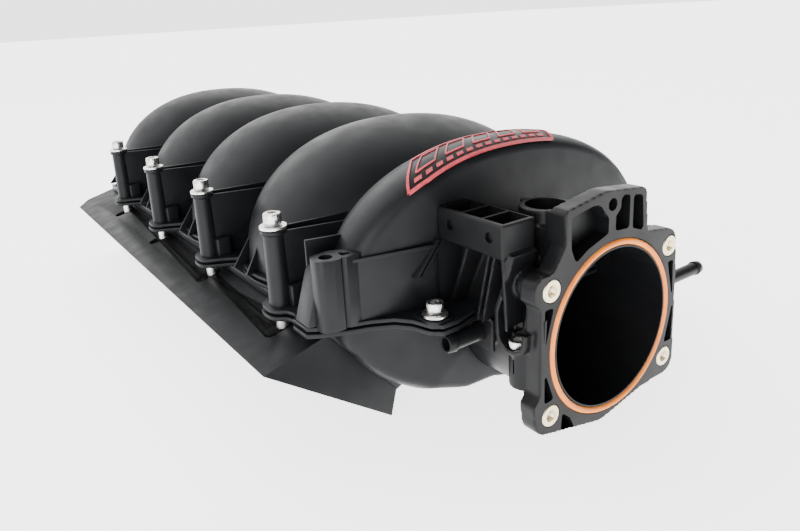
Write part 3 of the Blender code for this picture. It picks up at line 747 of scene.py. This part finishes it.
def front_panel():
    """The flat panel from the free boss to the bracket, with a lip and a pair of small braces."""
    left_x, right_x = -116.0, -66.0

    def face(x, ahead):
        return (x, slanted(x, SHELL_FRONT_Y) - ahead)

    plan = [face(left_x, 0.9), face(FRONT_SLANT_X, 0.9), face(right_x, 0.9), face(right_x, -4),
            face(FRONT_SLANT_X, -4), face(left_x, -4)]
    panel = softened(slab([plan], SEAM_Z + 1, PANEL_TOP_Z - 1), 0.6)
    lip_plan = [face(left_x, 1.8), face(FRONT_SLANT_X, 1.8), face(right_x, 1.8), face(right_x, -4),
                face(FRONT_SLANT_X, -4), face(left_x, -4)]
    lip = softened(slab([lip_plan], PANEL_TOP_Z - 1.8, PANEL_TOP_Z), 0.5)
    braces = []
    for shift in (0.0, 3.4):
        high, low = -66.5 + shift, -82.5 + shift
        brace = [(high, PANEL_TOP_Z + 2), (high + 1.5, PANEL_TOP_Z + 2), (low + 1.5, 31), (low, 31)]
        braces.append(softened(across([brace], SHELL_FRONT_Y - 2.2, SHELL_FRONT_Y + 6), 0.3))
    return [panel, lip, *braces]


def build_upper_shell():
    """The vaulted casing with its flange, lugs, bosses, fins and front panel."""
    vault = cut(arch_skin(), rod(NECK_RADIUS + 0.3, (0, 30, 0), (0, 90, 0), 96))
    bodies = [vault, flange_ring(0, SEAM_Z + 0.05, SEAM_Z + 2.4), *screw_lugs(SEAM_Z + 0.05, LUG_TOP_Z)]
    for side in SIDES:
        for x, y, top in bosses(side):
            bodies += bolt_station(side, x, y, top)
    bodies += free_boss() + front_panel()
    piece("upper_casing", group(bodies), SHELL, ["upper_shell"])


# -------- lower shell and rails

def trough_half():
    """Half outline of the trough, from the rim down to the keel, left side."""
    slope = (RAIL_HEEL[1] - RAIL_SHOULDER[1]) / (RAIL_HEEL[0] - RAIL_SHOULDER[0])
    heel = (RAIL_HEEL[0] + 3.6, RAIL_HEEL[1] + 4.4)
    side_x = -117.2
    return [(side_x, 30), (side_x, heel[1] + (side_x - heel[0]) * slope), heel, (-50, -54), (0, -56)]


TROUGH = [Vector(p) for p in trough_half()]


def trough_reach(angle, y):
    """Distance from the pole to the outer skin of the lower shell."""
    direction = Vector((math.cos(angle), math.sin(angle)))
    aim = Vector((-abs(direction.x), direction.y))
    reach = TROUGH_LEAST_REACH
    for a, b in zip(TROUGH, TROUGH[1:]):
        edge = b - a
        start = a - Vector((0, TROUGH_POLE_Z))
        turn = aim.x * edge.y - aim.y * edge.x
        if abs(turn) < 1e-9:
            continue
        distance = (start.x * edge.y - start.y * edge.x) / turn
        share = (start.x * aim.y - start.y * aim.x) / turn
        if distance > 0 and -1e-6 <= share <= 1 + 1e-6:
            reach = distance
    z = TROUGH_POLE_Z + direction.y * reach
    side = "left" if direction.x < 0 else "right"
    rim = arch_reach(math.pi if side == "left" else 0, y) + SIDES[side] * ARCH_CENTRE_X
    rim_share = max(0.0, min(1.0, (z + 8) / (SEAM_Z + 6)))
    reach += (rim / max(abs(direction.x), 0.2) - reach) * rim_share
    if side == "left" and y < BELLY_END_Y:
        rise = math.sin(math.pi * max(0.0, min(1.0, (4 - z) / 50)))
        reach += BELLY_BULGE * rise * (1 - max(0.0, (y - BELLY_FRONT_Y) / 14) ** 3)
    nose = max(0.0, min(1.0, (92 - y) / 34))
    depth = max(0.0, min(1.0, -(z + 2) / 36))
    narrowed = reach * (1 - depth * (1 - math.sqrt(1 - 0.25 * nose ** 2)))
    return max(narrowed, TROUGH_LEAST_REACH)


def tub_core():
    """The air space between the two rails, kept clear of the skirts."""
    return box((-98, 0, -20), (98, 620, 30))


def build_lower_shell():
    """The trough with its ducts, rim, skirts over the rails and corner webs."""
    angles = [math.pi * (1 + i / 72) for i in range(73)]
    corner = ((0.0, 0.0), (0.0, 0.55), (0.0, 0.96), (0.5, 0.982), (1.4, 0.995))
    stations = [(SHELL_FRONT_Y + y, share) for y, share in corner]
    stations += [(y, 1.0) for y in shell_ys(5.588)]
    stations += [(SHELL_REAR_Y - y, share) for y, share in corner[::-1]]
    grid = []
    for y, share in stations:
        line = []
        for angle in angles:
            r = trough_reach(angle, y) * share
            x = math.cos(angle) * r
            line.append((x, slanted(x, y), TROUGH_POLE_Z + math.sin(angle) * r))
        grid.append(line)
    tub = thickened(skin(grid), WALL)
    tools = [box((-200, 0, SEAM_Z - SEAM_GAP), (200, 620, 80)),
             rod(NECK_RADIUS + 0.3, (0, 30, 0), (0, 90, 0), 96)]
    tub = cut(tub, *tools)
    tub = cut(tub, *[duct for side in SIDES for duct in port_ducts(side)])
    rim_top = SEAM_Z - SEAM_GAP
    bodies = [tub, flange_ring(0.6, rim_top - 2.6, rim_top), *screw_lugs(rim_top - 2.2, rim_top)]
    for side, sign in SIDES.items():
        start = port_ys(side)[0] - RAIL_LEAD + 2
        low_x, high_x = sorted((sign * 95, sign * (-RAIL_SHOULDER[0] + 1.5)))
        rear = start + RAIL_LENGTH - 8
        skirt = box((low_x, start, RAIL_SHOULDER[1] + 0.2), (high_x, rear, rim_top - 2))
        bodies.append(softened(cut(skirt, tub_core()), 0.6))
        web_y = start - 2 + WEB_INSET
        shoulder, heel = sign * -RAIL_SHOULDER[0], sign * -RAIL_HEEL[0]
        web = [(shoulder, rim_top - 2), (shoulder, RAIL_SHOULDER[1] - 1.5), (heel, RAIL_HEEL[1] - 1.5),
               (sign * 62, RAIL_HEEL[1] + 6), (sign * 62, rim_top - 4), (sign * 112, rim_top - 2)]
        bodies.append(softened(across([web], web_y, web_y + WEB_THICKNESS), 0.6))
    piece("lower_casing", group(bodies), SHELL, ["lower_shell"])


def port_frames(side):
    """Each port's frame: local Z runs from the head face into the plenum, local X up the face."""
    face = Vector((RAIL_TOE[0] - RAIL_EDGE[0], 0, RAIL_TOE[1] - RAIL_EDGE[1])).normalized()
    inward = Vector((-face.z, 0, face.x))
    middle = Vector(((RAIL_EDGE[0] + RAIL_TOE[0]) / 2, 0, (RAIL_EDGE[1] + RAIL_TOE[1]) / 2))
    middle += face * PORT_SHIFT
    sign = SIDES[side]
    flip = Vector((-sign, 1, 1))
    frames = []
    for y in port_ys(side):
        origin = middle * flip
        origin.y = y
        turn = Matrix((face * flip, (0, -sign, 0), inward * flip)).transposed().to_4x4()
        frames.append(Matrix.Translation(origin * MM) @ turn)
    return frames


def port_outline(grow=0.0):
    u, v = PORT_SIZE[0] / 2 + grow, PORT_SIZE[1] / 2 + grow
    r = PORT_CORNER + grow
    return rounded([(-u, -v, r), (u, -v, r), (u, v, r), (-u, v, r)], 6)


def port_ducts(side):
    duct = prism([port_outline()], 120)
    return [moved(duct, place) for place in port_frames(side)]


def build_rail(side):
    """A wedge-shaped rail with ports, seal grooves, bolt slots and a rounded rear corner."""
    sign = SIDES[side]
    start = port_ys(side)[0] - RAIL_LEAD
    outline = [(-sign * u, v) for u, v in (RAIL_EDGE, RAIL_SHOULDER, RAIL_HEEL, RAIL_TOE)]
    mesh = across([outline], start, start + RAIL_LENGTH)
    edge_x = sign * -RAIL_EDGE[0]
    rear = start + RAIL_LENGTH
    outside = edge_x + sign * 2
    corner = [(edge_x - sign * 13, rear + 1), (outside, rear + 1), (outside, rear - 16)]
    tools = [slab([corner], -80, 20), *port_ducts(side)]
    groove = cut(prism([port_outline(4.4)], 4.2), prism([port_outline(1.4)], 6))
    tools += [moved(groove, place) for place in port_frames(side)]
    slope = math.atan2(RAIL_SHOULDER[1] - RAIL_EDGE[1], RAIL_SHOULDER[0] - RAIL_EDGE[0])
    for x, y, top in bosses(side):
        slot = rounded([(-5.5, -5.2, 5), (13, -5.2, 5), (13, 5.2, 5), (-5.5, 5.2, 5)], 8)
        tilt = Matrix.Rotation(sign * slope, 4, "Y") @ Matrix.Diagonal((sign, 1, 1, 1))
        face_z = RAIL_SHOULDER[1] + (abs(x) + RAIL_SHOULDER[0]) * (RAIL_EDGE[1] - RAIL_SHOULDER[1]) / 39
        tools.append(prism([slot], 6, at(x, y, face_z) @ tilt))
        tools.append(rod(BOLT_HOLE, (x, y, -60), (x, y, 40), 32))
    mesh = softened(cut(mesh, *tools), 0.7, 2, 30)
    piece(side + "_rail", mesh, RAIL, [side + "_head_rail"])


# -------- throttle neck

def flange_outline():
    """The throttle flange's four lobes and the tall tab on its top edge."""
    corners = [
        (-38.2, 56, 6), (-38.6, 72.6, 3), (-8, 77.2, 20), (24.6, 73.4, 4), (27.3, 48, 2),
        (53.6, 44, 9), (55.6, 20, 6), (57.6, -45.6, 9), (28, -46.8, 10), (-8, -54.2, 30),
        (-58.8, -42.6, 9), (-60.6, -26, 3), (-56.2, -21, 3), (-56.2, 27, 3), (-60.6, 31, 3),
        (-60.4, 43.4, 8), (-47, 43.4, 6)]
    return rounded(corners, 6)


def insert_places():
    """Centres of the four threaded inserts, as (x, z)."""
    return [(x, z) for x in (-INSERT_X, INSERT_X) for z in (-INSERT_Z, INSERT_Z)]


def flange_pockets():
    """The recesses between the flange's rim and its ring, as outlines in XZ."""
    return [
        rounded([(-34.5, 52.5, 3), (-35, 68.8, 2.5), (-9.5, 73, 8), (-9.5, 66, 3), (-6.4, 62.5, 2),
                 (-6.4, 54.4, 2), (-22, 49.5, 2), (-31, 44.5, 2)], 4),
        rounded([(-0.8, 54.4, 2), (-0.8, 62.5, 2), (3.0, 66, 3), (3.4, 73, 3), (10.5, 71.8, 2),
                 (10.5, 53.6, 2)], 4),
        rounded([(13.4, 52.8, 2), (13.4, 71.2, 2), (21.2, 69.8, 3), (23, 49.4, 2)], 4),
        rounded([(-53, 25.5, 1.2), (-46.6, 25.5, 1.5), (-52.3, 6, 2), (-52.9, -6.5, 1.2),
                 (-53.4, 6, 0.8)], 4),
        rounded([(-53, -11, 1.2), (-51.6, -11, 0.8), (-46.2, -25.5, 1.5), (-53, -26, 1.5)], 4),
        rounded([(-39.5, -36.5, 1), (-33.5, -41.5, 1), (-29.5, -49.2, 1), (-40.5, -46.5, 1)], 4),
        rounded([(47.2, 25.0, 1.2), (52.2, 25.0, 1.2), (53.3, 5, 1), (52.9, 2, 0.6)], 4),
        rounded([(53.3, -4, 0.6), (54.6, -4, 0.6), (54.6, -25.5, 1.2), (47.6, -25.5, 1.2)], 4),
    ]


def leaning_rib(top_y, low_y, width):
    """A thin brace from under the bracket down towards the casing's front wall."""
    mesh = bpy.data.meshes.new("rib")
    work = bmesh.new()
    corners = []
    for y, z, out in ((top_y, 51, -63.5), (low_y, 9, -61)):
        for x in (out, -44):
            for half in (-width / 2, width / 2):
                corners.append(work.verts.new(Vector((x, y + half, z)) * MM))
    bmesh.ops.convex_hull(work, input=corners)
    work.to_mesh(mesh)
    work.free()
    return mesh


def neck_bracket():
    """The bracket's block, the round port beside it, and the braces down its back."""
    left_x, right_x = BRACKET_XS
    low_z, top_z = BRACKET_ZS
    port_x, port_y = TOP_PORT
    return [
        box((left_x, BRACKET_FRONT_Y, low_z), (right_x, BRACKET_REAR_Y, top_z)),
        rod(TOP_PORT_RADII[0], (port_x, port_y, 40), (port_x, port_y, top_z), 64),
        rod(2.6, (port_x, 43.4, low_z), (port_x, 43.4, top_z), 24),
        across([[(-63.5, 51), (-44, 52), (-33, 36), (-47, 9), (-61, 10)]], 17.8, 20.2),
        leaning_rib(24, 37, RIB), leaning_rib(28, 41, RIB), leaning_rib(44, 63, 2.4),
        across([[(-50, 50), (-43, 50), (-30, 38), (-47, 10), (-50, 10)]], 20, BRACKET_REAR_Y),
    ]


def neck_cup():
    """The cup beside the flange, with the round screw post and its rib under it."""
    cup = rounded([(5, 12, 0), (6, 2, 6), (17, -3.5, 8), (27, 3, 9), (27.5, 20, 6), (18, 44, 5),
                   (15.5, 52, 0), (13, 52, 0), (15.6, 43, 5), (24.6, 19, 6), (24.2, 4.5, 7),
                   (16.6, -0.8, 6), (8.6, 4, 5), (8, 12, 0)], 5)
    foot = rounded([(5, 4, 2), (17, -3.5, 8), (27, 4, 2), (17, 8, 0)], 3)
    post_y = NECK_SCREW[1]
    return [
        along([cup], -61, -44),
        along([foot], -52, -42),
        rod(8.6, (-50, post_y, -22), (-50, post_y, 1), 48),
        across([[(-61, 2), (-40, 2), (-40, -24), (-52, -24)]], 15, 17.4),
    ]


def flange_braces():
    """A web from the flange back to the round port, and the top tab's flank."""
    return [
        across([[(-38, 56), (-36, 60.5), (-22, 60.5), (-22, 40), (-38, 40)]], 9, 30),
        box((-38.4, 8, 46), (-34.8, 14, 71)),
        across([[(-38.4, 46), (-38.4, 71), (-36, 71), (-36, 46)]], 8, 14),
    ]


def nipple_pads():
    """A round boss and a square pad where each nipple screws in."""
    pads = []
    for side, sign in SIDES.items():
        y, z, _, radius = NIPPLES[side]
        pads.append(rod(radius + 3.6, (sign * 40, y, z), (sign * 56, y, z), 48))
        low_x, high_x = sorted((sign * 54, sign * 56.4))
        pads.append(softened(box((low_x, y - radius - 5, z - radius - 4),
                                 (high_x, y + radius + 3, z + radius + 4)), 0.8))
    return pads


def neck_tools():
    """Everything that is cut from the neck: pockets, cells, holes, bores and the seal's groove."""
    port_x, port_y = TOP_PORT
    hole_x, hole_z = TAB_HOLE
    tools = [across([pocket], -3, 8.2) for pocket in flange_pockets()]
    tools += [box((-63.0, y, 53), (-45.0, y + CELL_LENGTH, 90)) for y in CELL_YS]
    tools += [rod(2.8, (-80, y, FLANK_HOLE_Z), (-62, y, FLANK_HOLE_Z), 32) for y in FLANK_HOLE_YS]
    tools.append(rod(TOP_PORT_RADII[1], (port_x, port_y, 54), (port_x, port_y, 90), 64))
    tools.append(rod(BORE_RADIUS, (0, -20, 0), (0, 120, 0), 128))
    tools.append(rod(3.4, (hole_x, -10, hole_z), (hole_x, 30, hole_z), 32))
    half = SEAL_SECTION + 0.3
    outer, inner = SEAL_RADIUS + half, SEAL_RADIUS - half
    groove = turned([(outer, 10), (outer, -2.9), (inner, -2.9), (inner, 10)], 128, True)
    tools.append(moved(groove, FACE_ON_Y))
    tools += [rod(INSERT_RADIUS + 0.3, (x, -10, z), (x, 12, z), 48) for x, z in insert_places()]
    x, y, seat = NECK_SCREW
    tools.append(rod(5.6, (x, y, seat), (x, y, seat + 12), 48))
    tools.append(rod(3.2, (x, y, seat - 14), (x, y, seat + 2), 32))
    for side, sign in SIDES.items():
        y, z, _, radius = NIPPLES[side]
        tools.append(rod(radius - 0.4, (sign * 49, y, z), (sign * 80, y, z), 32))
    return tools


def build_neck():
    """Flange, tube, bracket, ports and cup melted into one moulding, then cut."""
    hole_x, hole_z = TAB_HOLE
    solids = [across([flange_outline()], 0, FLANGE_THICKNESS),
              rod(NECK_RADIUS, (0, 3, 0), (0, 78, 0), 128)]
    for x in (-INSERT_X, INSERT_X):
        solids.append(rod(INSERT_RADIUS + 2.6, (x, 6, INSERT_Z), (x, 16, INSERT_Z), 48))
    solids += neck_bracket() + neck_cup() + flange_braces() + nipple_pads()
    solids.append(rod(4.2, (hole_x, 0, hole_z), (hole_x, 12, hole_z), 32))
    body = cut(fused(group(solids), 0.75, 2), *neck_tools())
    piece("neck", body, NECK, ["throttle_neck"], 28)


def build_seal():
    """The round ring that stands a little proud of its groove."""
    section = circle(SEAL_SECTION, 20, SEAL_RADIUS, -SEAL_SECTION / 2)
    ring = moved(turned(section[::-1], 160, True), FACE_ON_Y)
    piece("flange_seal", ring, ORANGE, ["throttle_seal"])


def build_inserts():
    """Threaded brass inserts: a chamfered collar, a small groove under it, a threaded bore and a plain
    skirt.
    """
    threads = []
    for i in range(10):
        threads += [(2.6, -10.5 + i), (2.95, -10.0 + i)]
    r = INSERT_RADIUS
    profile = [(r - 0.5, 0), (r, -0.5), (r, -3), (r - 0.3, -3.4), (r, -3.8), (r, -11), *threads,
               (3.3, 0)]
    sleeve = moved(turned(profile, 64, True), FACE_ON_Y)
    for i, (x, z) in enumerate(insert_places()):
        copy = moved(sleeve, at(x, -0.2, z))
        piece(f"brass_insert_{i + 1}", copy, BRASS, [f"throttle_insert_{i + 1}"])


# -------- fasteners and fittings

def socket_screw(r, head_height, shank_radius, socket, length):
    """A socket-head screw standing on its seat: knurled head, hexagon socket, rolled thread."""
    profile = [(0, head_height), (r - 0.9, head_height), (r - 0.35, head_height - 0.25),
               (r, head_height - 0.9), (r, 0.5), (r - 0.4, 0), (shank_radius, 0)]
    turns = 12
    for i in range(turns):
        z = -length * (0.4 + 0.6 * i / turns)
        profile += [(shank_radius, z), (shank_radius - 0.35, z - length * 0.025)]
    profile += [(shank_radius - 0.6, -length), (0, -length)]
    body = turned(profile, 72)
    work = bmesh.new()
    work.from_mesh(body)
    for vertex in work.verts:
        spot = vertex.co / MM
        flat = math.hypot(spot.x, spot.y)
        if flat > r - 0.05 and 0.4 < spot.z < head_height - 0.8:
            step = round(math.atan2(spot.y, spot.x) / math.tau * 72)
            if step % 2:
                vertex.co.x *= 1 - 0.22 / flat
                vertex.co.y *= 1 - 0.22 / flat
    work.to_mesh(body)
    work.free()
    hexagon = circle(socket, 6)
    return cut(body, slab([hexagon], head_height - 3.2, head_height + 2))


def washer(outer, inner, thickness):
    """A flat ring with chamfered edges."""
    chamfer = 0.25
    profile = [(outer - chamfer, thickness), (outer, thickness - chamfer), (outer, chamfer),
               (outer - chamfer, 0), (inner + chamfer, 0), (inner, chamfer),
               (inner, thickness - chamfer), (inner + chamfer, thickness)]
    return turned(profile, 72, True)


def fastener(name, mesh, x, y, z, node):
    """A zinc-plated piece set at a place."""
    piece(name, moved(mesh, at(x, y, z)), STEEL, [node])


def build_fasteners():
    """Manifold bolts with a sleeve near the tip, casing screws, and a washer for each."""
    ring = washer(*MANIFOLD_WASHER)
    for side in SIDES:
        for i, (x, y, top) in enumerate(bosses(side), 1):
            screw = socket_screw(*MANIFOLD_SCREW, top + 26)
            body = group([screw, moved(washer(*MANIFOLD_SLEEVE), at(0, 0, -top - 9))])
            fastener(f"{side}_bolt_{i}", body, x, y, top + SCREW_GAP, f"{side}_manifold_bolt_{i}")
            fastener(f"{side}_washer_{i}", ring, x, y, top + WASHER_GAP, f"{side}_bolt_washer_{i}")
    small = washer(*SHELL_WASHER)
    screw = socket_screw(*SHELL_SCREW, 10.4)
    for i, (x, y) in enumerate(SCREW_PLACES, 1):
        screw_z, washer_z = LUG_TOP_Z + SCREW_GAP, LUG_TOP_Z + WASHER_GAP
        fastener(f"casing_screw_{i}", screw, x, y, screw_z, f"shell_screw_{i}")
        fastener(f"casing_washer_{i}", small, x, y, washer_z, f"shell_screw_washer_{i}")


def build_neck_screw():
    """The screw that sits in the cup beside the flange."""
    x, y, seat = NECK_SCREW
    fastener("cup_screw", socket_screw(*CUP_SCREW, 10.0), x, y, seat + WASHER_GAP, "neck_screw")


def build_nipples():
    """Barbed hose nipples on both sides of the neck."""
    for side, sign in SIDES.items():
        y, z, reach, radius = NIPPLES[side]
        bore, shank = radius - 2, radius - 0.7
        profile = [(bore + 0.4, reach), (radius - 1.0, reach), (radius - 0.6, reach - 0.5),
                   (radius, reach - 4.6), (radius - 0.1, reach - 5.0), (shank, reach - 5.5),
                   (shank, 3), (shank + 0.7, 0.3), (shank, -6), (bore, -6), (bore, reach - 0.6)]
        barb = turned(profile, 64, True)
        lean = Matrix.Rotation(sign * math.pi / 2, 4, "Y")
        piece(side + "_nipple", moved(barb, at(sign * 56.5, y, z) @ lean), NECK,
              [side + "_vacuum_nipple"])


# -------- badge

def badge_spot(u, v, lift):
    """A point over the dome: u along the badge, v from its front edge to its rear edge."""
    low, high = [a + (b - a) * v for a, b in zip(BADGE_FRONT_ANGLES, BADGE_REAR_ANGLES)]
    angle = math.radians(low + (high - low) * u)
    y = BADGE_YS[0] + (BADGE_YS[1] - BADGE_YS[0]) * v
    return arch_spot(angle, y, lift)


def badge_patch(corners, low_lift, high_lift, columns, rows):
    """A raised patch between four (u, v) corners: front left, front right, rear right, rear left."""
    grid = []
    for i in range(columns + 1):
        line = []
        for k in range(rows + 1):
            a, b = i / columns, k / rows
            front = [corners[0][n] + (corners[1][n] - corners[0][n]) * a for n in (0, 1)]
            rear = [corners[3][n] + (corners[2][n] - corners[3][n]) * a for n in (0, 1)]
            u, v = [front[n] + (rear[n] - front[n]) * b for n in (0, 1)]
            line.append(badge_spot(u, v, low_lift))
        grid.append(line)
    return thickened(skin(grid), high_lift - low_lift, 1)


def badge_bar(start, end, width, lift):
    """A line between two (u, v) points."""
    a, b = Vector(start), Vector(end)
    run = Vector(((b - a).x * BADGE_ASPECT, (b - a).y)).normalized()
    side = Vector((-run.y / BADGE_ASPECT, run.x)) * width / 2
    corners = [tuple(a - side), tuple(b - side), tuple(b + side), tuple(a + side)]
    return badge_patch(corners, 0.6, lift, 20, 1)


def badge_loop(corners, width, lift):
    """Four bars round a patch."""
    return [badge_bar(a, b, width, lift) for a, b in zip(corners, corners[1:] + corners[:1])]


def build_badge():
    """A slanted plate with a red border and plain slanted bars."""
    plate = badge_patch([(0, 0), (1, 0), (1, 1), (0, 1)], 0.3, 0.9, 60, 12)
    piece("badge_base", softened(plate, 0.25), NECK, ["badge_plate"])
    marks = badge_loop([(0.006, 0.03), (0.994, 0.03), (0.994, 0.97), (0.006, 0.97)], 0.07, 1.6)
    for i in range(BADGE_LOOPS):
        u = 0.05 + 0.19 * i
        loop = [(u, 0.36), (u + 0.12, 0.36), (u + 0.15, 0.86), (u + 0.03, 0.86)]
        marks += badge_loop(loop, 0.05, 1.5)
    for i in range(BADGE_DASHES):
        u = 0.04 + 0.066 * i
        marks.append(badge_bar((u, 0.19), (u + 0.04, 0.19), 0.09, 1.4))
    piece("badge_marks", group(marks), RED)


# -------- carried-over nodes

def repaint():
    """Give the frame's own nodes that stay visible their finished materials."""
    finishes = {"shell_seal": DARK_RUBBER}
    for side in SIDES:
        for i in range(PORT_COUNT):
            finishes[f"{side}_runner_{i + 1}"] = RUNNER
            finishes[f"{side}_port_seal_{i + 1}"] = PORT_RUBBER
    for node, material in finishes.items():
        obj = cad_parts[node]
        for material_slot in obj.material_slots:
            material_slot.material = material


# -------- studio

def make_camera():
    """A camera at the front left, a little above the manifold."""
    data = bpy.data.cameras.new("camera")
    data.sensor_width = 36
    data.lens = CAMERA_LENS
    data.shift_x, data.shift_y = CAMERA_SHIFT
    data.clip_start = 0.01
    data.clip_end = 60
    camera = bpy.data.objects.new("camera", data)
    bpy.context.scene.collection.objects.link(camera)
    back = CAMERA_RIGHT.cross(CAMERA_UP)
    turn = Matrix((CAMERA_RIGHT, CAMERA_UP, back)).transposed().to_4x4()
    camera.matrix_world = DATUM @ Matrix.Translation(CAMERA_PLACE) @ turn
    bpy.context.scene.camera = camera


def soft_light(name, place, aim, size, power):
    """A square softbox at a place in metres, turned towards a point."""
    data = bpy.data.lights.new(name, "AREA")
    data.shape = "SQUARE"
    data.size = size
    data.energy = power
    obj = bpy.data.objects.new(name, data)
    bpy.context.scene.collection.objects.link(obj)
    obj.location = place
    obj.rotation_euler = (Vector(aim) - Vector(place)).to_track_quat("-Z", "Y").to_euler()


def make_world():
    """A white room that is brightest behind and above the manifold and dimmer in front."""
    world = bpy.data.worlds.new("studio")
    world.use_nodes = True
    tree = world.node_tree
    background = tree.nodes["Background"]
    background.inputs["Color"].default_value = (1, 1, 1, 1)
    coords = tree.nodes.new("ShaderNodeTexCoord")
    split = tree.nodes.new("ShaderNodeSeparateXYZ")
    fade = tree.nodes.new("ShaderNodeMapRange")
    fade.interpolation_type = "SMOOTHSTEP"
    fade.inputs["From Min"].default_value = -0.5
    fade.inputs["From Max"].default_value = 0.7
    fade.inputs["To Min"].default_value = ROOM_FRONT
    fade.inputs["To Max"].default_value = ROOM_REAR
    tree.links.new(coords.outputs["Generated"], split.inputs["Vector"])
    tree.links.new(split.outputs["Y"], fade.inputs["Value"])
    tree.links.new(fade.outputs["Result"], background.inputs["Strength"])
    bpy.context.scene.world = world


def make_studio():
    """A pale glowing floor in a white room, with three softboxes."""
    work = bmesh.new()
    bmesh.ops.create_grid(work, x_segments=8, y_segments=8, size=FLOOR_HALF_SIZE)
    mesh = bpy.data.meshes.new("floor")
    work.to_mesh(mesh)
    work.free()
    material, _, shader = node_material("floor_paper", 0.85)
    shader.inputs["Base Color"].default_value = (0.93, 0.93, 0.93, 1)
    shader.inputs["Emission Color"].default_value = (1, 1, 1, 1)
    shader.inputs["Emission Strength"].default_value = FLOOR_GLOW
    mesh.materials.append(material)
    floor = bpy.data.objects.new("floor", mesh)
    bpy.context.scene.collection.objects.link(floor)
    floor.location = (0, 0, cad_low.z - 0.0005)
    make_world()
    soft_light("key", (-0.7, 0.7, 1.3), (0, 0, 0.08), 0.8, 3)
    soft_light("rear", (0.4, 1.5, 0.9), (0, 0.1, 0.1), 1.0, 2)
    soft_light("front", (-1.1, -0.9, 0.5), (-0.05, -0.1, 0.05), 0.9, 14)


build_upper_shell()
build_lower_shell()
build_neck()
build_seal()
build_inserts()
build_fasteners()
build_neck_screw()
build_nipples()
build_badge()
for side in SIDES:
    build_rail(side)
repaint()
make_camera()
make_studio()
